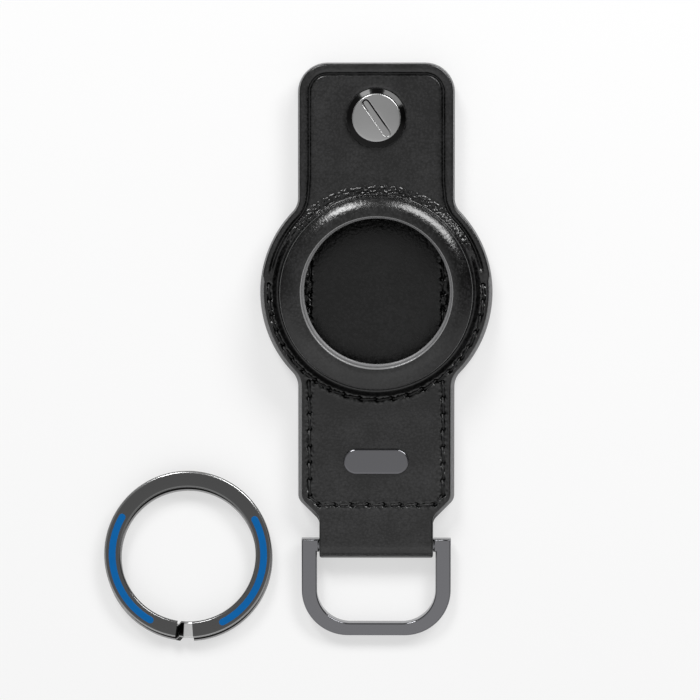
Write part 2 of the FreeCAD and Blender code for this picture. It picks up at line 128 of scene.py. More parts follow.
# Shares and angles of small forms
lip_paint_share = 0.8
lining_paint_share = 1.3
wiped_share = 0.8
stitch_sink_share = 0.15
# Painted shade on the key ring's sides and on its lower turn's covered flat
wire_shade_share = 0.9
wire_shade_ramp = (1.0, 1.0, 0.5, 0.0, 0.0, 0.0, 0.0)
# Painted highlights on the key ring's wire edges, outer and inner, standing in for reflected light
wire_highlight_ramp = (0.0, 0.0, 0.5, 1.0, 1.0, 1.0, 0.0)
wire_outer_highlight = 0.5
wire_inner_highlight = 0.15
jog_stages = ((0.02, 0.0), (0.5, 0.06), (0.04, 0.06), (0.2, 0.44), (0.24, 0.44))
# Painted highlight on the level start of the key ring's jog
jog_highlight_share = 0.53
seam_pucker_share = 0.6
seam_pucker_rate = 2.2
crease_shares = ((-1.3, 0.0), (-1.0, 0.1), (-0.15, 1.0), (0.15, 1.0), (1.0, 0.1), (1.3, 0.0))
crease_merge_share = 0.08
# Painted shadow along one side of the screw slot's floor
slot_shade_shares = (0.8, 0.0)
slot_shade_side = (-0.2, 0.1)
slot_shade_turn = math.radians(-12)
pucker_span = (12, 166)
pucker_fade = 30
pucker_stretch = 1.5
pucker_gloss = 0.12
dome_crumple_share = 0.07
strip_middle = 36
strip_sweep = 30
floor_fall_share = 0.66
floor_deep_share = 1.12
floor_crumple_share = 0.3
stitch_sides = 8
stitch_flatness = 0.86
spacing_growth = 0.7
pucker_edges = 3.5

# Patterns of the finishes: how closely they repeat, and how far they bend or stretch
drift_scale = 700.0
fine_scale = 5200.0
slow_scale = 160.0
crumple_scale = 1900.0
scratch_scale = 9000.0
cloud_scale = 240.0
ply_scale = 1100.0
fuzz_scale = 3500.0
enamel_scale = 500.0
drift_reach = 0.0006
scratch_stretch = (0.06, 1.0, 1.0)
ply_bend = 1.5

# How strongly the patterns show. Tones are the darkest and the lightest share of a colour
pebble_relief = 0.55
fine_relief = 0.35
slow_relief = 0.6
crumple_relief = 5.6
grain_contrast = 8.0
grain_middle = 0.57
tone_dullness = 0.16
paint_fill = 0.75
thread_tones = (0.6, 2.2)
fuzz_dullness = 0.25
enamel_tones = (0.9, 1.1)
cloud_dullness = 0.12
scratch_dullness = 0.06

# Sheen of the plain finishes, depth of the leather's relief, and strength and depth of the other reliefs
thread_sheen = 0.3
enamel_sheen = 0.28
enamel_gloss = 0.15
floor_dullness = 0.9
grain_depth = 0.0001
ply_relief = (0.6, 0.00006)
scratch_relief = (0.12, 0.00001)
enamel_relief = (0.1, 0.00005)

# Heights and sides of the sky between which the world's light changes
dome_rise = (0.1, 0.5)
near_rise = (0.0, 0.25)
near_turn = (0.05, -0.4)
shade_turn = (0.0, 0.5)
overhead_focus = 8.0


def length(name, description, default):
    """Property for a length in metres."""
    return FloatProperty(name=name, description=description, default=default, unit="LENGTH", precision=5)


def tint(name, description, default):
    """Property for a colour, in linear light."""
    return FloatVectorProperty(
        name=name, description=description, default=default, subtype="COLOR", size=3, min=0.0, max=1.0
    )


def amount(name, description, default):
    """Property for a plain number."""
    return FloatProperty(name=name, description=description, default=default)


def angular(name, description, degrees):
    """Property for an angle, given in degrees."""
    return FloatProperty(name=name, description=description, default=math.radians(degrees), subtype="ANGLE")


def two_lengths(name, description, default):
    """Property for a length across and a length along the holder."""
    return FloatVectorProperty(name=name, description=description, default=default, size=2, unit="LENGTH")


def two_angles(name, description, degrees):
    """Property for a first and a last angle, given in degrees."""
    angles = tuple(math.radians(angle) for angle in degrees)
    return FloatVectorProperty(name=name, description=description, default=angles, size=2, unit="ROTATION")


class OutlineSizes(bpy.types.PropertyGroup):
    """Outline of the leather layers and the finish of their edges."""

    tab_corner: length("Tab corner", "Radius of the tab's corners", 0.0056)
    waist_radius: length("Waist", "Radius where the strap runs into the round pocket", 0.0038)
    shoulder_reach: length("Shoulder", "Distance from the pocket's axis to the strap's shoulders", 0.03945)
    shoulder_radius: length("Shoulder radius", "Radius of the shoulders' corners", 0.0022)
    edge_radius: length("Edge radius", "Rounding of a painted edge", 0.0004)
    under_radius: length("Lower edge radius", "Rounding of an edge's lower side", 0.00012)
    layer_radius: length("Layer edge radius", "Rounding of the edges of the layers under the front", 0.00015)
    paint_reach: length("Paint reach", "Width of the edge paint on the layers under the front", 0.0009)
    layer_gap: length("Layer gap", "Glue line between two layers", 0.00003)
    step_low: length("Step start", "Height along the strap where the front leather starts to widen", 0.0022)
    step_high: length("Step end", "Height along the strap where the front leather has its full width", 0.0033)


class RidgeSizes(bpy.types.PropertyGroup):
    """Moulded ridge, its window and the crease on the flap."""

    foot_circle: length("Foot circle", "Radius at which the leather's back turns up", 0.0195)
    foot_radius: length("Foot radius", "Radius of the hollow at the foot of the ridge's back", 0.0014)
    crown_radius: length("Crown radius", "Radius of the rounded shoulder of the ridge's back", 0.0026)
    wall_foot: length("Wall foot", "Radius at which the leather's face turns up", 0.0188)
    foot_fillet: length("Foot fillet", "Radius of the fold at the foot of the ridge's wall", 0.0004)
    dome_radius: length("Dome", "Radius of the ridge's domed top, seen in section", 0.0062)
    dome_edge: length("Dome edge", "Rounding between the ridge's domed top and its wall", 0.00035)
    window_radius: length("Window", "Radius of the window in the leather", 0.01405)
    lining_window: length("Lining window", "Radius of the window in the lining", 0.01365)
    lip_radius: length("Lip radius", "Rounding of the window's painted lip", 0.00032)
    window_shift: two_lengths("Window shift", "Place of the front's window off the axis", (0.00012, 0.00024))
    lining_shift: two_lengths("Lining shift", "Place of the lining's window off the axis", (0.00015, 0.0004))
    crease_margin: length("Crease margin", "Distance of the crease from the tab's edge", 0.0019)
    crease_drift: length("Crease drift", "How much nearer the edge it lies by the pocket", 0.0005)
    crease_width: length("Crease width", "Width of the pressed crease", 0.00075)
    crease_depth: length("Crease depth", "Depth of the pressed crease", 0.00045)
    pucker_height: length("Puckers", "Height of the puckers at the ridge's foot", 0.0001)
    pucker_size: length("Pucker size", "Distance between puckers", 0.0004)
    pucker_reach: length("Pucker reach", "Width of the puckered band beside the ridge's foot", 0.0013)
    strip_rise: length("Strip rise", "Rise of the leather from the crease to the ridge's foot", 0.00044)
    strip_width: length("Strip width", "Width of the rise or fall to the ridge's foot", 0.001)
    groove_depth: length("Groove depth", "Fall of the leather to the ridge's foot on the sewn half", 0.0004)
    floor_dip: length("Floor dip", "Depth to which the pocket's floor falls towards its mouth", 0.0006)
    bend_reach: length("Bend reach", "Length of leather that bends when the flap opens", 0.008)


class SeamSizes(bpy.types.PropertyGroup):
    """Stitching."""

    thread: length("Thread", "Diameter of the thread", 0.00052)
    pitch: length("Pitch", "Length of a stitch, from hole to hole", 0.003)
    hole_gap: length("Hole gap", "Length of the gap between two stitches", 0.0004)
    slant: length("Slant", "How far each end of a stitch lies off the seam", 0.00013)
    channel_width: length("Channel width", "Width of the channel that the thread pulls", 0.0012)
    channel_depth: length("Channel depth", "Depth of the channel that the thread pulls", 0.00012)
    pucker_height: length("Seam puckers", "Height of the puckers beside a seam", 0.0002)
    hole_radius: length("Hole radius", "Radius of a needle hole's hollow", 0.0005)
    hole_depth: length("Hole depth", "Depth of a needle hole's hollow", 0.0006)
    pocket_radius: length("Pocket seam", "Radius of the seam round the pocket", 0.0203)
    pocket_end: length("Pocket seam end", "Height along the strap where that seam ends", 0.0017)
    column_x: length("Side seam", "Distance of the side seams from the middle", 0.01265)
    top_row: length("Top row", "Height of the seam across the tab", 0.04055)
    bottom_row: length("Bottom row", "Height of the seam across the strap's foot", -0.0403)
    row_corner: length("Row corner", "Cut corner between a side seam and a row", 0.0017)
    column_top: length("Strap seam top", "Height where the strap's side seams start", -0.01668)
    floor_end: length("Floor seam end", "Height where the seams on the pocket's floor end", -0.00932)


class MetalSizes(bpy.types.PropertyGroup):
    """Screw, washer, badge, D-ring and key ring."""

    seat_z: length("Head seat", "Height of the screw's seat on its washer", 0.0058)
    head_edge: length("Head edge", "Rounding of the screw's head", 0.0003)
    head_crown: length("Head crown", "Rise of the screw's face", 0.00015)
    shank_radius: length("Shank", "Radius of the screw's shank", 0.002)
    slot_length: length("Slot length", "Length of the screw's slot", 0.0082)
    slot_width: length("Slot width", "Width of the screw's slot", 0.00138)
    slot_depth: length("Slot depth", "Depth of the screw's slot", 0.00045)
    slot_edge: length("Slot edge", "Softening of the slot's edge", 0.00016)
    # Painted shadow: width of the dark band along one side of the slot's floor
    slot_shade_width: length("Soil width", "Width of the grime along one side of the slot's floor", 0.00028)
    slot_angle: angular("Slot angle", "Direction of the slot", -55)
    bore_gap: length("Bore gap", "Clearance round the screw's shank", 0.0002)
    flange_height: length("Flange height", "Height of the post's flange", 0.0006)
    washer_rim: length("Washer rim", "Height of the washer's rim over the leather", 0.00042)
    press_depth: length("Washer press", "How far the washer presses the leather down", 0.00014)
    press_width: length("Washer press width", "Width of the pressed leather beside the washer's rim", 0.0006)
    barrel_radius: length("Barrel", "Radius of the post's barrel", 0.00278)
    badge_edge: length("Badge edge", "Rounding of the badge's edge", 0.00035)
    bar_radius: length("Bar", "Radius of the D-ring's bar, and half its thickness", 0.00122)
    ring_reach: length("D-ring reach", "Distance from the bar's axis to the D-ring's far side", 0.0174)
    ring_post: length("D-ring posts", "Width of the D-ring's posts", 0.0029)
    ring_bottom: length("D-ring bottom", "Width of the D-ring's far side", 0.0024)
    ring_corner: length("D-ring corner", "Outer radius of the D-ring's corners", 0.0088)
    shoulder_gap: length("Shoulder gap", "Clearance between the leather and the bar's square ends", 0.0001)
    ring_edge: length("D-ring edge", "Rounding of the D-ring's edges", 0.0003)
    wire_width: length("Wire width", "Width of the key ring's flat wire", 0.0031)
    wire_height: length("Wire height", "Height of the key ring's flat wire", 0.0013)
    wire_radius: length("Wire radius", "Rounding of the key ring's wire", 0.00038)
    wire_end: angular("Wire end", "Where the upper turn ends", 261)
    wire_turn: angular("Wire turn", "Sweep of each flat turn", 347.5)
    wire_jog: angular("Wire jog", "Sweep of the jog between the turns", 12.5)
    lower_shift: two_lengths("Lower shift", "Slip of the key ring's lower turn", (0.00005, -0.00085))
    enamel_left: two_angles("Left enamel", "First and last angle of the left inlay", (150, 240))
    enamel_right: two_angles("Right enamel", "First and last angle of the right inlay", (-63, 28))
    enamel_edge: length("Enamel edge", "Rounding of the enamel's edge", 0.00008)
    enamel_width: length("Enamel width", "Width of the enamel inlays", 0.00135)
    enamel_rise: length("Enamel rise", "Height of the enamel over the metal", 0.00003)
    enamel_depth: length("Enamel depth", "Depth of the enamel inlays", 0.0003)


class Finishes(bpy.types.PropertyGroup):
    """Colours and grain of the surfaces."""

    leather: tint("Leather", "Colour of the leather", (0.0068, 0.0068, 0.007))
    lining: tint("Lining", "Colour of the lining", (0.003, 0.003, 0.0031))
    paint: tint("Edge paint", "Colour of the painted edges", (0.24, 0.24, 0.243))
    thread: tint("Thread", "Colour of the thread", (0.003, 0.003, 0.0032))
    gunmetal: tint("Gunmetal", "Colour of the D-ring, badge and post", (0.225, 0.225, 0.225))
    dark_metal: tint("Dark metal", "Colour of the screw's washer", (0.02, 0.02, 0.02))
    screw_face: tint("Screw", "Colour of the screw", (0.5, 0.5, 0.5))
    # Painted shade: the key ring's metal is the gunmetal made darker, standing in for dimmer light on the ring
    shaded_ring_metal: tint("Key ring", "Colour of the key ring's flat", (0.12, 0.12, 0.12))
    # Painted highlight: light colour on the key ring's marked edges and jog, standing in for reflected light
    painted_highlight_tint: tint("Bright edge", "Colour of metal edges that rubbing has brightened", (0.8, 0.8, 0.8))
    # Painted shade: near-black colour on the slot's shadowed side and on the key ring's shaded sides and covered
    # flat
    painted_shade: tint("Soil", "Colour of the grime in the slot and on the key ring", (0.002, 0.002, 0.002))
    enamel: tint("Enamel", "Colour of the enamel", (0.0, 0.12, 0.38))
    floor: tint("Floor", "Colour of the floor", (0.94, 0.94, 0.94))
    grain_size: length("Grain size", "Distance between the leather's grains", 0.00042)


class StageSettings(bpy.types.PropertyGroup):
    """Camera and light."""

    distance: length("Camera distance", "Distance of the camera from the holder", 0.6)
    frame_width: length("Frame width", "Width of the picture at the holder", 0.133)
    aim_x: length("Aim across", "Place across the holder that the camera looks at", -0.005)
    aim_y: length("Aim along", "Place along the holder that the camera looks at", -0.011)
    tilt: angular("Tilt", "Lean of the camera towards the tab", 3)
    lean: angular("Lean", "Lean of the camera to the right", 0.8)
    floor_white: amount("Floor white", "Share of plain white in the floor that the camera sees", 0.5)
    horizon: amount("Horizon", "Strength of the light from the horizon", 0.05)
    dome: amount("Dome", "Strength of the light over the horizon", 0.28)
    overhead: amount("Overhead", "Strength of the light added straight above", 0.25)
    near_side: amount("Near side", "Strength of the light added on the strap's side", 0.58)
    right_shade: amount("Right shade", "Share of the dome's light that is taken away on the right", 0.75)
    softbox_distance: length("Softbox distance", "Distance of the softboxes from the pocket", 1.0)
    right_width: length("Right width", "Width of the right softbox", 0.58)
    left_width: length("Left width", "Width of the left softbox", 0.26)
    softbox_height: length("Softbox height", "Height of a softbox", 0.3)
    right_rise: angular("Right rise", "Angle of the right softbox over the table", 38)
    left_rise: angular("Left rise", "Angle of the left softbox over the table", 40)
    right_azimuth: angular("Right azimuth", "Direction of the right softbox", 54)
    left_azimuth: angular("Left azimuth", "Direction of the left softbox", 113)
    right_power: amount("Right power", "Power of the right softbox, in watts", 5.7)
    left_power: amount("Left power", "Power of the left softbox, in watts", 3.9)


class HolderSettings(bpy.types.PropertyGroup):
    """All the settings of the holder."""

    outline: PointerProperty(type=OutlineSizes)
    ridge: PointerProperty(type=RidgeSizes)
    seams: PointerProperty(type=SeamSizes)
    metal: PointerProperty(type=MetalSizes)
    finish: PointerProperty(type=Finishes)
    stage: PointerProperty(type=StageSettings)


def settings():
    return bpy.context.scene.tag_holder


# Outlines


def smooth_step(low, high, value):
    """Share from 0 to 1 that eases in and out between two values."""
    share = min(1.0, max(0.0, (value - low) / (high - low)))
    return share * share * (3 - 2 * share)


def hollow(distance, radius):
    """Rounded dip: 1 at no distance, and 0 from the radius on."""
    share = min(1.0, distance / radius)
    return (1 - share * share) ** 2


def arc(x, y, radius, first, last, steps):
    """Points along an arc, in degrees, without its last point."""
    angles = [math.radians(first + (last - first) * step / steps) for step in range(steps)]
    return [(x + radius * math.cos(angle), y + radius * math.sin(angle)) for angle in angles]


def straight(start, end, steps):
    """Points along a line, without its last point."""
    start, end = Vector(start), Vector(end)
    return [tuple(start.lerp(end, step / steps)) for step in range(steps)]


def circle(radius, steps, x=0.0, y=0.0):
    return arc(x, y, radius, 0, 360, steps)


def half_outline(body, edge, bottom, pocket=True):
    """Right half of a layer's outline, from the middle of the tab to the end of the neck.

    The body's inset draws in all but the neck, and the edge's inset draws in the neck too."""
    sizes = settings().outline
    inset = body + edge
    side = strap_half - inset
    top = tab_reach - inset
    corner = sizes.tab_corner - inset
    start = (side, top - corner)
    places = straight((0, top), (side - corner, top), line_steps)
    places += arc(side - corner, top - corner, corner, 90, 0, corner_steps)
    if pocket:
        rim = rim_radius - inset
        waist = sizes.waist_radius + inset
        waist_x = side + waist
        waist_y = math.sqrt((rim + waist) ** 2 - waist_x ** 2)
        turn = math.degrees(math.atan2(waist_y, waist_x))
        places += straight(start, (side, waist_y), line_steps)
        places += arc(waist_x, waist_y, waist, 180, 180 + turn, corner_steps)
        places += arc(0, 0, rim, turn, -turn, rim_steps)
        places += arc(waist_x, -waist_y, waist, 180 - turn, 180, corner_steps)
        start = (side, -waist_y)
    slant = math.sqrt(0.5)
    eighth = math.tan(math.radians(22.5))
    diagonal = strap_half + sizes.shoulder_reach - inset / slant
    neck = neck_half - edge
    outer = sizes.shoulder_radius - edge
    inner = sizes.shoulder_radius + edge
    shoulder_y = side - diagonal
    neck_y = neck - diagonal
    high = shoulder_y + outer * eighth
    low = neck_y - inner * eighth
    diagonal_start = (side - outer * eighth * slant, shoulder_y - outer * eighth * slant)
    diagonal_end = (neck + inner * eighth * slant, neck_y + inner * eighth * slant)
    places += straight(start, (side, high), line_steps)
    places += arc(side - outer, high, outer, 0, -45, bend_steps)
    places += straight(diagonal_start, diagonal_end, bend_steps)
    places += arc(neck + inner, low, inner, 135, 180, bend_steps)
    places += straight((neck, low), (neck, bottom), bend_steps)
    return places + [(neck, bottom)]


def open_outline(half):
    """Both halves of an outline, from the left end of the neck round to the right end."""
    return [(-x, y) for x, y in reversed(half[1:])] + half


def closed_outline(half):
    """Both halves of an outline, as a ring."""
    return half + [(-x, y) for x, y in reversed(half[1:])]


def edge_rows(low, high, over):
    """Inset, height and paint of the rows round an edge, from a layer's lower face to its upper one."""
    under = settings().outline.under_radius
    reach = settings().outline.paint_reach
    rows = [(reach, low, 0.0)]
    rows += [(x, z, 1.0) for x, z in arc(under, low + under, under, 270, 180, bend_steps // 2)]
    rows += [(x, z, 1.0) for x, z in arc(over, high - over, over, 180, 90, bend_steps)]
    return rows + [(over, high, 1.0), (reach, high, 1.0)]


def clean_rows(low, high):
    """Rows of an edge whose rounding is wiped clean, so that only its upright part shows paint."""
    over = settings().outline.edge_radius
    rows = edge_rows(low, high, over)[:-1]
    return [(inset, z, 0.0 if z > high - over * wiped_share else paint) for inset, z, paint in rows]


def paint_row(ring, layer, paint):
    """Marks the paint on a row, which ends where the strap narrows to its neck."""
    sizes = settings().outline
    neck_y = neck_half - strap_half - sizes.shoulder_reach
    for vert in ring:
        vert[layer] = paint * smooth_step(neck_y, neck_y + sizes.shoulder_radius, vert.co.y)


# Shaping with mesh operators


def ring_edges(bm, ring, closed=True):
    pairs = list(zip(ring, ring[1:]))
    if closed:
        pairs.append((ring[-1], ring[0]))
    return [bm.edges.get(pair) or bm.edges.new(pair) for pair in pairs]


def add_ring(bm, places, closed=True):
    """New vertices joined in a ring or a chain."""
    ring = [bm.verts.new(place) for place in places]
    ring_edges(bm, ring, closed)
    return ring


def extrude_ring(bm, ring, places, closed=True):
    """Extrudes a ring or chain and moves the new vertices to their places."""
    made = bmesh.ops.extrude_edge_only(bm, edges=ring_edges(bm, ring, closed))
    fresh = {part.co.to_tuple(): part for part in made["geom"] if isinstance(part, bmesh.types.BMVert)}
    moved = [fresh[vert.co.to_tuple()] for vert in ring]
    for vert, place in zip(moved, places):
        vert.co = place
    return moved


def at_height(places, z):
    return [(x, y, z) for x, y in places]


def spin(bm, section, centre, axis, angle, steps, rise=0.0, merge=False):
    """Turns a section about an axis, with a rise at each step, and gives back the last section."""
    made = bmesh.ops.spin(
        bm,
        geom=section,
        cent=centre,
        axis=axis,
        dvec=(0, 0, rise),
        angle=angle,
        steps=steps,
        use_merge=merge,
    )
    return made["geom_last"]


def spin_profile(bm, places, steps, y=0.0, closed=True):
    """Turns a profile of radius and height once round an upright axis."""
    turned = bmesh.new()
    ring = add_ring(turned, [(radius, y, z) for radius, z in places], closed)
    section = ring + ring_edges(turned, ring, closed)
    spin(turned, section, (0, y, 0), (0, 0, 1), math.tau, steps, merge=True)
    join_in(bm, turned)


def as_mesh(name, bm):
    """Finished mesh made from a mesh in progress."""
    mesh = bpy.data.meshes.new(name)
    bm.to_mesh(mesh)
    bm.free()
    return mesh


def add_object(name, data):
    """Object at the origin, linked to the scene."""
    made = bpy.data.objects.new(name, data)
    bpy.context.scene.collection.objects.link(made)
    return made


def join_in(bm, other):
    """Adds another mesh in progress to this one."""
    mesh = as_mesh("joined", other)
    bm.from_mesh(mesh)
    bpy.data.meshes.remove(mesh)


def flat_region(rings, z, spacing=None):
    """Flat face inside the first ring and outside the others, in triangles no longer than the spacing."""
    region, _ = new_piece()
    edges = []
    for places in rings:
        edges += ring_edges(region, add_ring(region, at_height(places, z)))
    bmesh.ops.triangle_fill(region, use_beauty=True, edges=edges, normal=(0, 0, 1))
    for _ in range(refine_passes if spacing else 0):
        long_edges = []
        for edge in region.edges:
            middle = (edge.verts[0].co + edge.verts[1].co) / 2
            if not edge.is_boundary and edge.calc_length() > spacing(middle.x, middle.y):
                long_edges.append(edge)
        if not long_edges:
            break
        bmesh.ops.subdivide_edges(region, edges=long_edges, cuts=1)
        bmesh.ops.triangulate(region, faces=region.faces[:])
        inner = [edge for edge in region.edges if not edge.is_boundary]
        bmesh.ops.beautify_fill(region, faces=region.faces[:], edges=inner)
    return region


def new_piece():
    """Mesh in progress with the values that its material reads."""
    bm = bmesh.new()
    bm.verts.layers.float.new("pucker")
    # This value is the leather's real edge paint, and on metal a painted highlight
    return bm, bm.verts.layers.float.new("edge_paint_and_highlight")


def wrap_edge(bm, layer, rows, places_of, closed=True):
    """Builds the rows of an edge, and gives back the first ring and the last."""
    first = ring = None
    for inset, z, paint in rows:
        places = at_height(places_of(inset), z)
        ring = extrude_ring(bm, ring, places, closed) if ring else add_ring(bm, places, closed)
        first = first or ring
        paint_row(ring, layer, paint)
    return first, ring


def finish_mesh(name, bm, material, sharp=35, weighted=False):
    """Object at the origin made from a mesh in progress, closed and facing outwards."""
    bmesh.ops.remove_doubles(bm, verts=bm.verts[:], dist=merge_distance)
    bmesh.ops.recalc_face_normals(bm, faces=bm.faces[:])
    mesh = as_mesh(name, bm)
    mesh.shade_smooth()
    mesh.set_sharp_from_angle(angle=math.radians(sharp))
    mesh.materials.append(material)
    piece = add_object(name, mesh)
    if weighted:
        piece.modifiers.new("Flat faces", "WEIGHTED_NORMAL").keep_sharp = True
    return piece


# Seams


def straight_stitches(corners):
    """Start and end of each stitch along straight runs."""
    stitches = []
    pitch = settings().seams.pitch
    for start, end in zip(corners, corners[1:]):
        start, end = Vector(start), Vector(end)
        count = max(1, round((end - start).length / pitch))
        for index in range(count):
            stitches.append((start.lerp(end, index / count), start.lerp(end, (index + 1) / count)))
    return stitches


def pocket_stitches():
    """Stitches round the sewn half of the pocket."""
    seams = settings().seams
    rise = math.degrees(math.asin(seams.pocket_end / seams.pocket_radius))
    sweep = 180 + 2 * rise
    count = round(math.radians(sweep) * seams.pocket_radius / seams.pitch)
    holes = arc(0, 0, seams.pocket_radius, 180 - rise, 360 + rise, count)
    holes += arc(0, 0, seams.pocket_radius, 360 + rise, 360, 1)
    return [(Vector(start), Vector(end)) for start, end in zip(holes, holes[1:])]


def row_corners(row, inward):
    """Corners of a row across the strap, whose cut ends turn up (1) or down (-1) into the side seams."""
    side, cut = settings().seams.column_x, settings().seams.row_corner
    return [(-side, row + inward * cut), (cut - side, row), (side - cut, row), (side, row + inward * cut)]


def strap_stitches():
    """Stitches down both sides of the strap and across its foot."""
    seams = settings().seams
    left = (-seams.column_x, seams.column_top)
    right = (seams.column_x, seams.column_top)
    return straight_stitches([left] + row_corners(seams.bottom_row, 1) + [right])


def tab_corners(low):
    """Corners of the back strap's seam, up one side, across the tab and down the other side."""
    seams = settings().seams
    return [(-seams.column_x, low)] + row_corners(seams.top_row, -1) + [(seams.column_x, low)]


def floor_stitches():
    """Stitches of the back strap, where they show on the pocket's floor."""
    return straight_stitches(tab_corners(settings().seams.floor_end))


def back_stitches():
    """Stitches all round the back strap."""
    foot = row_corners(settings().seams.bottom_row, 1)
    return straight_stitches(tab_corners(foot[0][1]) + foot[::-1][1:])


def slanted(stitch):
    """Ends of a stitch that lies aslant across its seam, short of its holes' middles."""
    seams = settings().seams
    start, end = stitch
    along = (end - start).normalized()
    aside = Vector((-along.y, along.x)) * seams.slant
    gap = along * (seams.hole_gap / 2)
    return start + gap - aside, end - gap + aside


def seam_maps(stitches):
    """Trees that find the nearest point of the seam and the nearest needle hole."""
    seams = settings().seams
    holes = [place for stitch in stitches for place in slanted(stitch)]
    line = []
    for start, end in stitches:
        line += straight(start, end, round(seams.pitch / seams.hole_radius) * 2)
    trees = []
    for places in (line, holes):
        tree = kdtree.KDTree(len(places))
        for index, place in enumerate(places):
            tree.insert((place[0], place[1], 0), index)
        tree.balance()
        trees.append(tree)
    return trees


def seam_spacing(trees, shortest):
    """How long a triangle's edge may be, shorter beside the seam."""
    seams = settings().seams

    def spacing(x, y):
        away = trees[0].find((x, y, 0))[2]
        return min(longest_edge, shortest + spacing_growth * max(0.0, away - seams.channel_width / 2))

    return spacing


def press_seam(bm, trees, up):
    """Presses the thread's channel and the needle holes into a flat face."""
    seams = settings().seams
    layer = bm.verts.layers.float["pucker"]
    for vert in bm.verts:
        if not vert.is_boundary:
            flat = (vert.co.x, vert.co.y, 0)
            away = trees[0].find(flat)[2]
            dip = seams.channel_depth * hollow(away, seams.channel_width / 2)
            dip += seams.hole_depth * hollow(trees[1].find(flat)[2], seams.hole_radius)
            share = hollow(away, seams.channel_width)
            if up > 0:
                ripple = noise.noise(vert.co / seams.channel_width * seam_pucker_rate)
                dip += seams.pucker_height * ripple * share
            vert.co.z -= up * dip
            vert[layer] = seam_pucker_share * share


def stitch_template():
    """One stitch of unit length along X, arched so that its ends dive into the leather."""
    seams = settings().seams
    half = 0.5
    sink = stitch_sink_share
    bend = (half ** 2 + sink ** 2) / (2 * sink)
    turn = math.asin(half / bend)
    bm = bmesh.new()
    upright = Matrix.Rotation(math.pi / 2, 4, "Y")
    made = bmesh.ops.create_circle(bm, segments=stitch_sides, radius=1.0, matrix=upright)
    radius = seams.thread / 2 / seams.pitch
    bmesh.ops.scale(bm, vec=(1, radius, radius * stitch_flatness), verts=made["verts"])
    bmesh.ops.rotate(bm, cent=(0, 0, -bend), matrix=Matrix.Rotation(-turn, 3, "Y"), verts=made["verts"])
    spin(bm, bm.verts[:] + bm.edges[:], (0, 0, -bend), (0, 1, 0), 2 * turn, stitch_sides)
    bmesh.ops.holes_fill(bm, edges=open_edges(bm), sides=stitch_sides)
    return as_mesh("stitch", bm)


def sew(name, stitches, z, up, node):
    """One row of stitches as a piece. Up is 1 on a front face and -1 on a back one."""
    bm = bmesh.new()
    template = stitch_template()
    for stitch in stitches:
        start, end = slanted(stitch)
        along = (end - start).normalized()
        known = set(bm.verts)
        bm.from_mesh(template)
        size = (end - start).length
        axes = Matrix(((along.x, -along.y, 0), (along.y, along.x, 0), (0, 0, up))).to_4x4()
        middle = (start + end) / 2
        place = Matrix.Translation((middle.x, middle.y, z)) @ axes @ Matrix.Scale(size, 4)
        bmesh.ops.transform(bm, matrix=place, verts=[vert for vert in bm.verts if vert not in known])
    bpy.data.meshes.remove(template)
    piece = finish_mesh(name, bm, thread_material(), sharp=60)
    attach(piece, "holder")
    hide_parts(node)


# Node trees


def add_node(tree, kind, inputs=(), **attributes):
    """Node with its attributes set and its inputs given as values or as links."""
    made = tree.nodes.new(kind)
    for name, value in attributes.items():
        setattr(made, name, value)
    for name, value in dict(inputs).items():
        if isinstance(value, bpy.types.NodeSocket):
            tree.links.new(value, made.inputs[name])
        else:
            made.inputs[name].default_value = value
    return made


def math_node(tree, operation, first, second=0.0, third=0.0):
    """Result of a sum on two or three values."""
    made = add_node(tree, "ShaderNodeMath", {0: first, 1: second, 2: third}, operation=operation)
    return made.outputs[0]


def noise_node(tree, place, scale, detail=2.0):
    """Outputs of a noise over a place."""
    return add_node(tree, "ShaderNodeTexNoise", {"Vector": place, "Scale": scale, "Detail": detail}).outputs


def ease_node(tree, value, span, first=0.0, last=1.0):
    """Value that eases from the first to the last while another one goes through a span."""
    inputs = {"Value": value, "From Min": span[0], "From Max": span[1], "To Min": first, "To Max": last}
    return add_node(tree, "ShaderNodeMapRange", inputs, interpolation_type="SMOOTHSTEP").outputs[0]


def object_place(tree):
    """Place on a piece, in the shared frame."""
    return add_node(tree, "ShaderNodeTexCoord").outputs["Object"]


def vertex_value(tree, name):
    """Value that the vertices of a piece carry."""
    return add_node(tree, "ShaderNodeAttribute", attribute_name=name).outputs["Fac"]


def add_relief(tree, shader, height, strength, depth):
    """Lets a height show as relief on a shader's surface."""
    bump = add_node(tree, "ShaderNodeBump", {"Height": height, "Strength": strength, "Distance": depth})
    tree.links.new(bump.outputs[0], shader.inputs["Normal"])


def new_group(name, inputs, outputs):
    """Empty node group with its named sockets."""
    group = bpy.data.node_groups.new(name, "ShaderNodeTree")
    for label, kind, default in inputs:
        socket = group.interface.new_socket(label, in_out="INPUT", socket_type=kind)
        socket.default_value = default
    for label, kind in outputs:
        group.interface.new_socket(label, in_out="OUTPUT", socket_type=kind)
    return group, group.nodes.new("NodeGroupInput").outputs, group.nodes.new("NodeGroupOutput").inputs


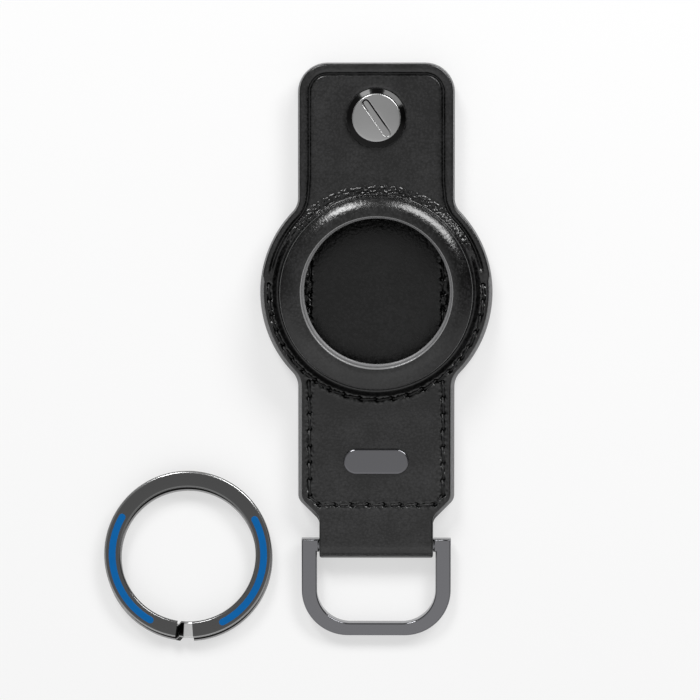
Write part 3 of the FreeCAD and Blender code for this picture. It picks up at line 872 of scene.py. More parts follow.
def grain_group():
    """Fine leather grain: rounded pebbles, creases between them and slow unevenness."""
    known = bpy.data.node_groups.get("leather_grain")
    if known:
        return known
    group, given, result = new_group(
        "leather_grain",
        [("Scale", "NodeSocketFloat", 1000.0), ("Crumple", "NodeSocketFloat", 0.0)],
        [("Height", "NodeSocketFloat"), ("Tone", "NodeSocketFloat")],
    )
    place = object_place(group)
    drift = noise_node(group, place, drift_scale)["Color"]
    offset = add_node(group, "ShaderNodeVectorMath", {0: drift, "Scale": drift_reach}, operation="SCALE")
    bent = add_node(group, "ShaderNodeVectorMath", {0: place, 1: offset.outputs[0]}, operation="ADD")
    bent = bent.outputs[0]
    inputs = {"Vector": bent, "Scale": given["Scale"]}
    pebbles = add_node(group, "ShaderNodeTexVoronoi", inputs, feature="SMOOTH_F1").outputs["Distance"]
    fine = noise_node(group, bent, fine_scale, detail=3.0)["Fac"]
    slow = noise_node(group, place, slow_scale)["Fac"]
    crumple = noise_node(group, bent, crumple_scale)["Fac"]
    height = math_node(group, "MULTIPLY", pebbles, -pebble_relief)
    height = math_node(group, "MULTIPLY_ADD", fine, fine_relief, height)
    height = math_node(group, "MULTIPLY_ADD", slow, slow_relief, height)
    rough = math_node(group, "MULTIPLY", crumple, given["Crumple"])
    height = math_node(group, "MULTIPLY_ADD", rough, crumple_relief, height)
    group.links.new(height, result["Height"])
    pale = math_node(group, "SUBTRACT", 1.0, pebbles)
    tone = math_node(group, "MULTIPLY", math_node(group, "ADD", slow, pale), 0.5)
    group.links.new(tone, result["Tone"])
    return group


def polish_group():
    """Polished metal: faint scratches and a slow change of sheen."""
    known = bpy.data.node_groups.get("metal_polish")
    if known:
        return known
    group, given, result = new_group(
        "metal_polish",
        [("Sheen", "NodeSocketFloat", 0.2)],
        [("Roughness", "NodeSocketFloat"), ("Height", "NodeSocketFloat")],
    )
    place = object_place(group)
    long_way = add_node(group, "ShaderNodeMapping", {"Vector": place, "Scale": scratch_stretch})
    lines = noise_node(group, long_way.outputs[0], scratch_scale, detail=3.0)["Fac"]
    slow = noise_node(group, place, cloud_scale, detail=3.0)["Fac"]
    dull = math_node(group, "MULTIPLY_ADD", slow, cloud_dullness, given["Sheen"])
    dull = math_node(group, "MULTIPLY_ADD", lines, scratch_dullness, dull)
    group.links.new(dull, result["Roughness"])
    group.links.new(lines, result["Height"])
    return group


def new_material(name):
    """Empty material with its shader and output."""
    material = bpy.data.materials.new(name)
    material.use_nodes = True
    tree = material.node_tree
    tree.nodes.clear()
    shader = tree.nodes.new("ShaderNodeBsdfPrincipled")
    output = tree.nodes.new("ShaderNodeOutputMaterial")
    tree.links.new(shader.outputs["BSDF"], output.inputs["Surface"])
    return material, tree, shader


def place_group(tree, group, inputs):
    """Outputs of a node group put into a tree."""
    return add_node(tree, "ShaderNodeGroup", inputs, node_tree=group).outputs


def mix_colours(tree, share, first, second, blend="MIX"):
    """Colour mixed from two colours."""
    inputs = {0: share, 6: first, 7: second}
    return add_node(tree, "ShaderNodeMix", inputs, data_type="RGBA", blend_type=blend).outputs[2]


def opaque(colour, share=1.0):
    """Colour for a socket, darkened or lightened by a share."""
    return (*(part * share for part in colour), 1.0)


def leather_material(name, colour, scale_share, sheen, bump, gloss):
    """Dyed leather with grey painted edges."""
    known = bpy.data.materials.get(name)
    if known:
        return known
    finish = settings().finish
    material, tree, shader = new_material(name)
    paint = vertex_value(tree, "edge_paint_and_highlight")
    pucker = vertex_value(tree, "pucker")
    grain = place_group(tree, grain_group(), {"Scale": scale_share / finish.grain_size, "Crumple": pucker})
    tone = math_node(tree, "MULTIPLY_ADD", grain["Tone"], grain_contrast, 1.0 - grain_contrast * grain_middle)
    tone = math_node(tree, "MAXIMUM", tone, 0.0)
    dyed = mix_colours(tree, 1.0, opaque(colour), tone, "MULTIPLY")
    tree.links.new(mix_colours(tree, paint, dyed, opaque(finish.paint)), shader.inputs["Base Color"])
    dull = math_node(tree, "MULTIPLY_ADD", grain["Tone"], tone_dullness, sheen - tone_dullness / 2)
    dull = math_node(tree, "SUBTRACT", dull, math_node(tree, "MULTIPLY", pucker, pucker_gloss))
    tree.links.new(dull, shader.inputs["Roughness"])
    shader.inputs["Specular IOR Level"].default_value = gloss
    unfilled = math_node(tree, "MULTIPLY_ADD", paint, -paint_fill, 1.0)
    height = math_node(tree, "MULTIPLY", grain["Height"], unfilled)
    add_relief(tree, shader, height, bump, grain_depth)
    return material


def front_leather():
    """Glossy, finely grained leather of the front."""
    colour = settings().finish.leather
    return leather_material("front leather", colour, scale_share=1.0, sheen=0.2, bump=0.35, gloss=0.72)


def back_leather():
    """Duller leather of the back."""
    colour = settings().finish.leather
    return leather_material("back leather", colour, scale_share=0.9, sheen=0.42, bump=0.27, gloss=0.5)


def lining_leather():
    """Thin lining with a larger grain."""
    colour = settings().finish.lining
    return leather_material("lining leather", colour, scale_share=0.75, sheen=0.26, bump=0.4, gloss=0.48)


def thread_material():
    """Waxed black thread with twisted plies."""
    known = bpy.data.materials.get("waxed thread")
    if known:
        return known
    material, tree, shader = new_material("waxed thread")
    place = object_place(tree)
    inputs = {"Vector": place, "Scale": ply_scale, "Distortion": ply_bend}
    plies = add_node(tree, "ShaderNodeTexWave", inputs, bands_direction="DIAGONAL").outputs["Fac"]
    fuzz = noise_node(tree, place, fuzz_scale)["Fac"]
    dark, light = (opaque(settings().finish.thread, share) for share in thread_tones)
    tree.links.new(mix_colours(tree, fuzz, dark, light), shader.inputs["Base Color"])
    dull = math_node(tree, "MULTIPLY_ADD", fuzz, fuzz_dullness, thread_sheen)
    tree.links.new(dull, shader.inputs["Roughness"])
    add_relief(tree, shader, plies, *ply_relief)
    return material


def metal_material(name, colour, sheen):
    """Plated metal, with a painted highlight on its marked edges and painted shade where it is marked dark."""
    known = bpy.data.materials.get(name)
    if known:
        return known
    material, tree, shader = new_material(name)
    shader.inputs["Metallic"].default_value = 1.0
    painted_highlight = vertex_value(tree, "edge_paint_and_highlight")
    shade_mask = vertex_value(tree, "painted_shade")
    least = sheen - (cloud_dullness + scratch_dullness) / 2
    polish = place_group(tree, polish_group(), {"Sheen": least})
    # Painted highlight on marked edges, then painted shade on marked places
    painted_light_colour = mix_colours(tree, painted_highlight, opaque(colour), opaque(settings().finish.painted_highlight_tint))
    painted_light_colour = mix_colours(tree, shade_mask, painted_light_colour, opaque(settings().finish.painted_shade))
    tree.links.new(painted_light_colour, shader.inputs["Base Color"])
    tree.links.new(polish["Roughness"], shader.inputs["Roughness"])
    add_relief(tree, shader, polish["Height"], *scratch_relief)
    return material


def gunmetal():
    """Satin gunmetal of the D-ring, the badge and the post."""
    return metal_material("gunmetal", settings().finish.gunmetal, sheen=0.3)


def dark_metal():
    """Dark, shiny plating of the washer."""
    return metal_material("dark metal", settings().finish.dark_metal, sheen=0.11)


def screw_metal():
    """Light steel of the screw."""
    return metal_material("screw metal", settings().finish.screw_face, sheen=0.24)


def shaded_ring_metal():
    """Gunmetal of the key ring, made darker as painted shade for dimmer light on the ring."""
    return metal_material("key ring shaded gunmetal", settings().finish.shaded_ring_metal, sheen=0.22)


def enamel_material():
    """Glossy enamel, slightly uneven."""
    known = bpy.data.materials.get("blue enamel")
    if known:
        return known
    material, tree, shader = new_material("blue enamel")
    uneven = noise_node(tree, object_place(tree), enamel_scale)["Fac"]
    deep, light = (opaque(settings().finish.enamel, share) for share in enamel_tones)
    tree.links.new(mix_colours(tree, uneven, deep, light), shader.inputs["Base Color"])
    shader.inputs["Roughness"].default_value = enamel_sheen
    shader.inputs["Specular IOR Level"].default_value = enamel_gloss
    add_relief(tree, shader, uneven, *enamel_relief)
    return material


# Moulded leather


def weld(bm):
    bmesh.ops.remove_doubles(bm, verts=bm.verts[:], dist=merge_distance)


def open_edges(bm):
    return [edge for edge in bm.edges if edge.is_boundary]


def flat_places(ring, closed=True):
    """Places of a ring seen from above. An open chain is closed by a divided straight end."""
    places = [tuple(vert.co.xy) for vert in ring]
    if not closed:
        places += straight(places[-1], places[0], line_steps)[1:]
    return places


def bore(radius):
    """Round hole for the screw, seen from above."""
    return circle(radius, bore_steps, 0, screw_y)


def bore_wall(bm, radius, high, low):
    """Wall of a round hole for the screw."""
    spin_profile(bm, [(radius, high), (radius, low)], bore_steps, screw_y, closed=False)


def shank_hole():
    """Radius of a hole for the screw's shank."""
    return settings().metal.shank_radius + settings().metal.bore_gap


def barrel_hole():
    """Radius of a hole for the post's barrel."""
    return settings().metal.barrel_radius + settings().outline.layer_gap


def lip_places(window, high):
    """Round lip of a window, from its top inwards."""
    lip = settings().ridge.lip_radius
    return arc(window + lip, high - lip, lip, 90, 180, bend_steps) + [(window, high - lip)]


def domed_face():
    """Face of the moulded ridge, from its foot up a leaning wall and over a domed top to the lip."""
    sizes = settings().ridge
    fillet, edge, dome = sizes.foot_fillet, sizes.dome_edge, sizes.dome_radius
    lip_x = sizes.window_radius + sizes.lip_radius
    edge_x = sizes.foot_circle - sizes.foot_radius - edge
    turn = math.asin((edge_x - lip_x) / (dome - edge))
    edge_z = ridge_z - dome + (dome - edge) * math.cos(turn)
    lean = math.atan2(sizes.wall_foot - fillet - edge_x - edge, edge_z - face_z - fillet)
    wall_foot = (sizes.wall_foot - fillet * math.cos(lean), face_z + fillet * (1 - math.sin(lean)))
    wall_top = (edge_x + edge * math.cos(lean), edge_z + edge * math.sin(lean))
    lean_angle, dome_angle = math.degrees(lean), 90 - math.degrees(turn)
    places = arc(sizes.wall_foot, face_z + fillet, fillet, 270, 180 + lean_angle, bend_steps)
    places += straight(wall_foot, wall_top, corner_steps)
    places += arc(edge_x, edge_z, edge, lean_angle, dome_angle, bend_steps)
    places += arc(lip_x, ridge_z - dome, dome, dome_angle, 90, crown_steps)
    return places + lip_places(sizes.window_radius, ridge_z)


def lining_face(depth):
    """Face of the ridge's lining at a depth under the leather's."""
    sizes = settings().ridge
    foot_x, foot_z = sizes.foot_circle, face_z + sizes.foot_radius
    crown_x = foot_x - sizes.foot_radius - sizes.crown_radius
    crown_z = ridge_z - sizes.crown_radius
    places = arc(foot_x, foot_z, sizes.foot_radius + depth, 270, 180, corner_steps)
    places += arc(crown_x, crown_z, sizes.crown_radius - depth, 0, 90, corner_steps)
    places += straight((crown_x, ridge_z - depth), (sizes.lining_window, ridge_z - depth), bend_steps)[:-1]
    return places + lip_places(sizes.lining_window, ridge_z - depth)


def ridge_back(depth, window):
    """Back of the ridge at a depth under the leather's face, from the window to the foot."""
    back = lining_face(depth)
    steps = 2 * corner_steps
    return [(window, ridge_z - depth)] + back[:steps][::-1]


def finish_lip(bm, window, share, shift):
    """Paints a share of the window's lip, and moves the lip a little off the ridge's axis."""
    ridge = settings().ridge
    layer = bm.verts.layers.float["edge_paint_and_highlight"]
    for vert in bm.verts:
        reach = vert.co.xy.length
        if vert.co.z > face_z + leather:
            if reach < window + ridge.lip_radius * share:
                vert[layer] = 1.0
            kept = smooth_step(ridge.lining_window, ridge.window_radius + leather, reach)
            vert.co.xy += Vector(shift) * (1 - kept)


def pucker_at(x, y):
    """How strongly the leather puckers at a place: round the ridge's foot, on the flap's side."""
    sizes = settings().ridge
    radius = math.hypot(x, y)
    angle = math.degrees(math.atan2(y, x))
    away = max(sizes.wall_foot - radius, radius - sizes.wall_foot - sizes.pucker_reach, 0.0)
    if y < 0 or away > sizes.pucker_size:
        return 0.0
    return mouth_share(angle) * hollow(away, sizes.pucker_size)


def mouth_share(angle):
    """Share from 0 to 1 by how far an angle lies inside the unsewn stretch of the pocket."""
    return smooth_step(0, pucker_fade, min(angle - pucker_span[0], pucker_span[1] - angle))


def foot_rise(x, y):
    """How far the leather rises beside the ridge's foot at a place, or falls where this is negative."""
    sizes = settings().ridge
    angle = math.degrees(math.atan2(y, x))
    near = 1 - smooth_step(sizes.wall_foot, sizes.wall_foot + sizes.strip_width, math.hypot(x, y))
    lifted = sizes.strip_rise * hollow(abs(angle - strip_middle), strip_sweep)
    return near * (lifted - sizes.groove_depth * (1 - mouth_share(angle)))


def pucker_leather(bm):
    """Shapes the leather's face round the ridge's foot: puckers, a raised strip and a groove."""
    sizes = settings().ridge
    layer = bm.verts.layers.float["pucker"]
    for vert in bm.verts:
        x, y, z = vert.co
        if face_z - sizes.crease_depth < z < face_z + sizes.foot_radius:
            share = pucker_at(x, y)
            across = math.hypot(x, y) / sizes.pucker_size
            along = math.atan2(y, x) * sizes.wall_foot / sizes.pucker_size / pucker_stretch
            rise = sizes.pucker_height * noise.noise((along, across, 0)) * share + foot_rise(x, y)
            vert.co.z += rise * (1 - smooth_step(face_z, face_z + sizes.foot_radius, z))
            vert[layer] = max(vert[layer], share)
        elif z > face_z + sizes.foot_radius:
            vert[layer] = dome_crumple_share * mouth_share(math.degrees(math.atan2(y, x)))


def rim_distance(x, y):
    """Distance of a place from the washer's rim, seen from above."""
    return abs(math.hypot(x, y - screw_y) - washer_radius)


def press_washer(bm):
    """Presses a shallow ring into the leather under the washer's rim."""
    metal = settings().metal
    for vert in bm.verts:
        vert.co.z -= metal.press_depth * hollow(rim_distance(vert.co.x, vert.co.y), metal.press_width)


def cover_places(tab, pocket, lower, dip):
    """Places of a row of the front leather.

    Its insets are those on the tab, round the pocket and on the sewn half."""
    sizes, ridge = settings().outline, settings().ridge
    high = open_outline(half_outline(flap_inset, tab, fold_y))
    wide = open_outline(half_outline(flap_inset, pocket, fold_y))
    narrow = open_outline(half_outline(front_inset, lower, fold_y))
    crease_low = flap_low.y + ridge.crease_width
    places = []
    for upper, outer, inner in zip(high, wide, narrow):
        share = smooth_step(sizes.step_low, sizes.step_high, inner[1])
        outer = Vector(outer).lerp(Vector(upper), smooth_step(strap_half, rim_radius, upper[1]))
        place = Vector(inner).lerp(outer, share)
        fade = smooth_step(crease_low, crease_low + ridge.crease_margin, place.y)
        places.append((place.x, place.y, -dip * fade))
    return places


def cover_rows():
    """Insets on the tab, round the pocket and on the sewn half, height, dip and paint of the front's rows."""
    sizes, ridge = settings().outline, settings().ridge
    edge = sizes.edge_radius
    rows = [(inset, inset, inset, z, 0.0, paint) for inset, z, paint in clean_rows(front_z, face_z)]
    for index, (share, dip) in enumerate(crease_shares):
        upper = ridge.crease_margin + share * ridge.crease_width / 2
        lower = edge * (1 + (index + 1) * crease_merge_share)
        rows.append((upper, upper - ridge.crease_drift, lower, face_z, ridge.crease_depth * dip, 0.0))
    return rows


def front_cover():
    """Front leather with its moulded ridge, the crease on the flap and the fold round the bar."""
    ridge = settings().ridge
    bm, paint = new_piece()
    rings = []
    for tab, pocket, lower, z, dip, mark in cover_rows():
        places = [(x, y, z + drop) for x, y, drop in cover_places(tab, pocket, lower, dip)]
        ring = extrude_ring(bm, rings[-1], places, False) if rings else add_ring(bm, places, False)
        rings.append(ring)
        paint_row(ring, paint, mark)
    foot = circle(ridge.foot_circle, ring_steps)
    metal = settings().metal
    hole = shank_hole()
    trees = seam_maps(pocket_stitches() + strap_stitches())
    beside_seam = seam_spacing(trees, settings().seams.hole_radius / 3)

    def spacing(x, y):
        near = ridge.pucker_size / pucker_edges if pucker_at(x, y) > 0 else math.inf
        pressed = metal.press_width / 2 + rim_distance(x, y) / 2
        groove = math.hypot(x, y) - ridge.wall_foot - ridge.strip_width
        return min(beside_seam(x, y), near, pressed, ridge.strip_width / 3 + max(0.0, groove))

    face_foot = circle(ridge.wall_foot, ring_steps)
    top = flat_region([flat_places(rings[-1], False), face_foot, bore(hole)], face_z, spacing)
    press_seam(top, trees, 1)
    press_washer(top)
    under = flat_region([flat_places(rings[0], False), foot, bore(hole)], front_z)
    join_in(bm, top)
    join_in(bm, under)
    spin_profile(bm, domed_face() + ridge_back(leather, ridge.window_radius), ring_steps, closed=False)
    bore_wall(bm, hole, face_z, front_z)
    weld(bm)
    finish_lip(bm, ridge.window_radius, lip_paint_share, ridge.window_shift)
    pucker_leather(bm)
    edges = open_edges(bm)
    section = list({vert for edge in edges for vert in edge.verts}) + edges
    spin(bm, section, (0, fold_y, fold_z), (1, 0, 0), math.pi, rim_steps // 2)
    bmesh.ops.holes_fill(bm, edges=open_edges(bm), sides=0)
    piece = finish_mesh("front_cover", bm, front_leather(), sharp=40)
    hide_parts("front_panel", "front_flap", "strap_loop")
    bend_with_flap(piece)


def bend_with_flap(piece):
    """Bends a piece with the flap, from the end of the pocket's seam on."""
    start = settings().seams.pocket_end
    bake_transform(piece, "holder", "flap", (0, start, face_z), (0, start + settings().ridge.bend_reach, face_z))


def plate(rows, places_of, holes, seam=None, closed=True):
    """Flat layer of leather with its edge, round holes seen from above, and a seam pressed into one face.

    The seam is its stitches and 1 for the upper face or -1 for the lower one."""
    bm, paint = new_piece()
    first, last = wrap_edge(bm, paint, rows, places_of, closed)
    for ring, z in ((first, rows[0][1]), (last, rows[-1][1])):
        side = 1 if z == max(rows[0][1], rows[-1][1]) else -1
        trees = seam_maps(seam[0]) if seam and seam[1] == side else None
        outline = [flat_places(ring, closed)] + holes[side]
        spacing = seam_spacing(trees, settings().seams.hole_radius / 2) if trees else None
        region = flat_region(outline, z, spacing)
        if trees:
            press_seam(region, trees, side)
        join_in(bm, region)
    return bm


def layer_places(body, bottom):
    """Gives the closed outline of a layer at any inset of its edge."""
    return lambda inset: closed_outline(half_outline(body, inset, bottom + inset))


def bored_layer(low, high, inset, hole, openings=(), seam=None):
    """Layer under the front, with a round hole on the screw's axis and any other openings."""
    rows = edge_rows(low, high, settings().outline.layer_radius)
    holes = [*openings, bore(hole)]
    bm = plate(rows, layer_places(inset, layer_end), {1: holes, -1: holes}, seam)
    bore_wall(bm, hole, high, low)
    return bm


def ridge_lining():
    """Thin lining behind the front leather, which shows as a second lip in the window."""
    ridge, gap = settings().ridge, settings().outline.layer_gap
    low, high = lining_low.z + gap, front_z - gap
    foot = circle(ridge.foot_circle, ring_steps)
    bm = bored_layer(low, high, lining_inset, shank_hole(), [foot])
    profile = lining_face(face_z - high) + ridge_back(face_z - low, ridge.lining_window)
    spin_profile(bm, profile, ring_steps, closed=False)
    finish_lip(bm, ridge.lining_window, lining_paint_share, ridge.lining_shift)
    piece = finish_mesh("ridge_lining", bm, lining_leather(), sharp=40)
    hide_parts("front_lining", "flap_lining")
    bend_with_flap(piece)


def floor_fall(x, y):
    """Share from 0 to 1 of the floor's fall towards the pocket's mouth."""
    ridge = settings().ridge
    reach = math.hypot(x, y)
    deepest = ridge.lining_window * floor_deep_share
    fall = smooth_step(ridge.lining_window * floor_fall_share, deepest, reach)
    fall -= smooth_step(deepest, ridge.wall_foot, reach)
    return fall * max(0.0, y / max(reach, leather))


def floor_lining():
    """Lining on the pocket's floor, with the back strap's seams pressed into it."""
    low, high = floor_low.z + settings().outline.layer_gap, floor_z
    bm = bored_layer(low, high, floor_inset, barrel_hole(), seam=(floor_stitches(), 1))
    layer = bm.verts.layers.float["pucker"]
    for vert in bm.verts:
        if vert.co.z > (low + high) / 2:
            fall = floor_fall(vert.co.x, vert.co.y)
            vert.co.z -= settings().ridge.floor_dip * fall
            vert[layer] = max(vert[layer], floor_crumple_share * fall)
    piece = finish_mesh("floor_lining", bm, lining_leather(), sharp=40)
    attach(piece, "holder")
    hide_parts("pocket_lining")


def back_panel():
    """Keyhole-shaped back leather, whose painted rim shows round the front."""
    bm = bored_layer(back_low.z + settings().outline.layer_gap, back_high.z, 0.0, barrel_hole())
    piece = finish_mesh("back_leather", bm, back_leather(), sharp=40)
    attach(piece, "holder")
    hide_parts("back_panel")


def back_strap():
    """Strap's return up the back, sewn all round, with a recess for the post's flange."""
    sizes, metal = settings().outline, settings().metal
    hole = barrel_hole()
    recess = flange_radius + sizes.layer_gap
    rows = [(inset, face_z - z, paint) for inset, z, paint in clean_rows(front_z, face_z)]
    low, high = rows[-1][1], rows[0][1]
    openings = {1: [bore(hole)], -1: [bore(recess)]}

    def places_of(inset):
        return open_outline(half_outline(0.0, inset, fold_y, pocket=False))

    bm = plate(rows, places_of, openings, (back_stitches(), -1), closed=False)
    step = post_low.z + metal.flange_height + sizes.layer_gap
    profile = [(recess, low), (recess, step), (hole, step), (hole, high)]
    spin_profile(bm, profile, bore_steps, screw_y, closed=False)
    weld(bm)
    bmesh.ops.holes_fill(bm, edges=open_edges(bm), sides=0)
    piece = finish_mesh("back_strap_leather", bm, back_leather(), sharp=40)
    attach(piece, "holder")
    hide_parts("back_strap")


def seams():
    """All the stitches."""
    half = settings().seams.thread / 2
    sew("pocket_thread", pocket_stitches(), face_z, 1, "pocket_seam")
    sew("strap_thread", strap_stitches(), face_z, 1, "strap_seam")
    sew("floor_thread", floor_stitches(), floor_z - half, 1, "floor_seam")
    sew("back_thread", back_stitches(), half + settings().outline.layer_gap, -1, "back_seam")


# Metal pieces


def slot_reach(angle, grow):
    """Distance from the screw's middle to the edge of its round-ended slot."""
    metal = settings().metal
    half_width = metal.slot_width / 2 + grow
    half_run = (metal.slot_length - metal.slot_width) / 2
    across, along = abs(math.sin(angle)), abs(math.cos(angle))
    if half_width * along <= half_run * across:
        return half_width / across
    return half_run * along + math.sqrt(half_width ** 2 - (half_run * across) ** 2)


def screw():
    """Slotted screw with a slightly domed face."""
    metal = settings().metal
    rim_z = screw_high.z - metal.head_crown
    flat_radius = head_radius - metal.head_edge
    turns = [math.tau * step / head_steps for step in range(head_steps)]

    def ring_at(reach_of, z_of):
        places = []
        for turn in turns:
            reach = reach_of(turn)
            angle = turn + metal.slot_angle
            places.append((reach * math.cos(angle), screw_y + reach * math.sin(angle), z_of(reach)))
        return places

    def face(reach):
        return screw_high.z - metal.head_crown * (reach / flat_radius) ** 2

    def edge_of(grow):
        return lambda turn: slot_reach(turn, grow)

    def between(share):
        return lambda turn: slot_reach(turn, metal.slot_edge) * (1 - share) + flat_radius * share

    bm, _ = new_piece()
    # Painted shadow: a dark band along one side of the slot's floor
    painted_shade = bm.verts.layers.float.new("painted_shade")
    slot_floor = rim_z - metal.slot_depth
    ring = add_ring(bm, ring_at(edge_of(-metal.slot_shade_width), lambda reach: slot_floor))
    bmesh.ops.contextual_create(bm, geom=ring_edges(bm, ring))
    for share in slot_shade_shares:
        ring = extrude_ring(bm, ring, ring_at(edge_of(-metal.slot_shade_width * share), lambda reach: slot_floor))
        for vert, turn in zip(ring, turns):
            vert[painted_shade] = smooth_step(*slot_shade_side, math.sin(turn + slot_shade_turn))
    for step in range(bend_steps + 1):
        turn = math.pi / 2 * step / bend_steps
        grow = metal.slot_edge * (1 - math.cos(turn))
        drop = metal.slot_edge * (1 - math.sin(turn))
        ring = extrude_ring(bm, ring, ring_at(edge_of(grow), lambda reach, fall=drop: face(reach) - fall))
        for vert in ring:
            vert[painted_shade] = 0.0
    for step in range(bend_steps):
        ring = extrude_ring(bm, ring, ring_at(between((step + 1) / bend_steps), face))
    sides = arc(flat_radius, rim_z - metal.head_edge, metal.head_edge, 90, 0, bend_steps)[1:]
    sides += [(head_radius, rim_z - metal.head_edge), (head_radius, metal.seat_z)]
    sides += [(metal.shank_radius, metal.seat_z), (metal.shank_radius, screw_low.z)]
    for radius, z in sides:
        places = ring_at(lambda turn, reach=radius: reach, lambda reach, height=z: height)
        ring = extrude_ring(bm, ring, places)
    bmesh.ops.contextual_create(bm, geom=ring_edges(bm, ring))
    piece = finish_mesh("slotted_screw", bm, screw_metal(), sharp=40, weighted=True)
    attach(piece, "screw")
    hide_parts("closure_screw")


def washer():
    """Domed washer under the screw's head."""
    metal = settings().metal
    inner = shank_hole()
    low = washer_low.z + settings().outline.layer_gap
    rim = washer_low.z + metal.washer_rim
    profile = [(inner, low), (washer_radius, low), (washer_radius, rim)]
    profile += [(head_radius + metal.bore_gap / 2, metal.seat_z), (inner, metal.seat_z)]
    bm, _ = new_piece()
    spin_profile(bm, profile, rim_steps * 2, screw_y)
    piece = finish_mesh("domed_washer", bm, dark_metal(), sharp=20)
    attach(piece, "washer")
    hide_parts("screw_washer")


def post():
    """Flanged post that takes the screw, set in the back."""
    metal = settings().metal
    top = post_low.z + metal.flange_height
    edge = metal.head_edge
    bore_radius = metal.shank_radius + metal.bore_gap / 2
    profile = [(0, post_low.z)] + arc(flange_radius - edge, post_low.z + edge, edge, 270, 360, bend_steps)
    profile += [(flange_radius, post_low.z + edge), (flange_radius, top), (metal.barrel_radius, top)]
    profile += [(metal.barrel_radius, post_high.z), (bore_radius, post_high.z), (bore_radius, top), (0, top)]
    bm, _ = new_piece()
    spin_profile(bm, profile, rim_steps * 2, screw_y, closed=False)
    piece = finish_mesh("flanged_post", bm, gunmetal(), sharp=35)
    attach(piece, "holder")
    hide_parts("screw_post")


def slab(outline, low, high, edge, lower_edge=True):
    """Outline raised between two heights, with rounded rims."""
    bm, _ = new_piece()
    ring = add_ring(bm, at_height(outline, low))
    made = bmesh.ops.contextual_create(bm, geom=ring_edges(bm, ring))
    raised = bmesh.ops.extrude_face_region(bm, geom=made["faces"])
    lifted = [part for part in raised["geom"] if isinstance(part, bmesh.types.BMVert)]
    bmesh.ops.translate(bm, vec=(0, 0, high - low), verts=lifted)
    bmesh.ops.recalc_face_normals(bm, faces=bm.faces[:])
    rims = set()
    for z in (high, low) if lower_edge else (high,):
        rims |= {part for part in bm.edges if all(abs(vert.co.z - z) < merge_distance for vert in part.verts)}
    bmesh.ops.bevel(
        bm,
        geom=list(rims),
        offset=edge,
        offset_type="OFFSET",
        affect="EDGES",
        segments=bend_steps,
        profile=0.5,
        material=-1,
        clamp_overlap=False,
    )
    return bm


def badge():
    """Plain pill-shaped plate on the strap."""
    run = badge_half_length - badge_half_width
    outline = []
    for side, first in ((1, -90), (-1, 90)):
        outline += arc(side * run, badge_y, badge_half_width, first, first + 180, rim_steps // 2)
        outline.append((side * run, badge_y + side * badge_half_width))
    bm = slab(outline, face_z, badge_high.z, settings().metal.badge_edge, lower_edge=False)
    piece = finish_mesh("badge_plate", bm, gunmetal(), sharp=35, weighted=True)
    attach(piece, "holder")
    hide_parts("badge")
    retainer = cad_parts["badge_retainer"]
    retainer.data.materials.clear()
    retainer.data.materials.append(gunmetal())


def d_ring():
    """D-ring with its bar, drooping until its far side lies on the table."""
    metal = settings().metal
    half, reach, corner = metal.bar_radius, metal.ring_reach, metal.ring_corner
    inner = d_ring_half - metal.ring_post
    inner_corner = corner - metal.ring_bottom
    far = metal.ring_bottom - reach
    outer_side = [(d_ring_half, half)]
    outer_side += arc(d_ring_half - corner, corner - reach, corner, 0, -90, rim_steps // 2)
    outer_side.append((d_ring_half - corner, -reach))
    shoulder = neck_half + metal.shoulder_gap
    inner_side = [(shoulder, half), (shoulder, -half), (inner, -half)]
    inner_side += arc(inner - inner_corner, far + inner_corner, inner_corner, 0, -90, rim_steps // 2)
    inner_side.append((inner - inner_corner, far))
    outline = outer_side + [(-x, y) for x, y in reversed(outer_side)]
    outline += [(-x, y) for x, y in inner_side] + list(reversed(inner_side))
    bm = slab(outline, -half, half, metal.ring_edge)
    bmesh.ops.create_cone(
        bm,
        cap_ends=True,
        segments=rim_steps,
        radius1=half,
        radius2=half,
        depth=2 * inner + metal.ring_post,
        matrix=Matrix.Rotation(math.pi / 2, 4, "Y"),
    )
    arm = Vector((reach - metal.ring_edge, half - metal.ring_edge))
    drop = fold_z - d_ring_low.z - metal.ring_edge
    droop = math.asin(drop / arm.length) - math.atan2(arm.y, arm.x)
    place = Matrix.Translation((0, fold_y, fold_z)) @ Matrix.Rotation(droop, 4, "X")
    bmesh.ops.transform(bm, matrix=place, verts=bm.verts[:])
    piece = finish_mesh("steel_d_ring", bm, gunmetal(), sharp=40, weighted=True)
    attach(piece, "d_ring")
    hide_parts("d_ring")


def wire_section(bm, painted_highlight, painted_shade, z):
    """Rounded section of the flat wire, with a painted highlight on its edges and painted shade on its sides
    marked.
    """
    metal = settings().metal
    radius = metal.wire_radius
    run, rise = metal.wire_width / 2 - radius, metal.wire_height / 2 - radius
    middle = key_radius - metal.wire_width / 2
    places, marks, dark = [], [], []
    for first, side, level in ((0, 1, 1), (90, -1, 1), (180, -1, -1), (270, 1, -1)):
        places += arc(middle + side * run, z + level * rise, radius, first, first + 90, bend_steps)
        places += arc(middle + side * run, z + level * rise, radius, first + 90, first + 180, 1)
        bright = wire_outer_highlight if side > 0 else wire_inner_highlight
        order = 1 if side == level else -1
        marks += [bright * mark for mark in wire_highlight_ramp[::order]]
        dark += [wire_shade_share * mark for mark in wire_shade_ramp[::order]]
    start = metal.wire_end
    turned = [
        (key_centre.x + reach * math.cos(start), key_centre.y + reach * math.sin(start), height)
        for reach, height in places
    ]
    ring = add_ring(bm, turned)
    for vert, mark, shade in zip(ring, marks, dark):
        vert[painted_highlight] = mark
        vert[painted_shade] = shade
    return ring + ring_edges(bm, ring)


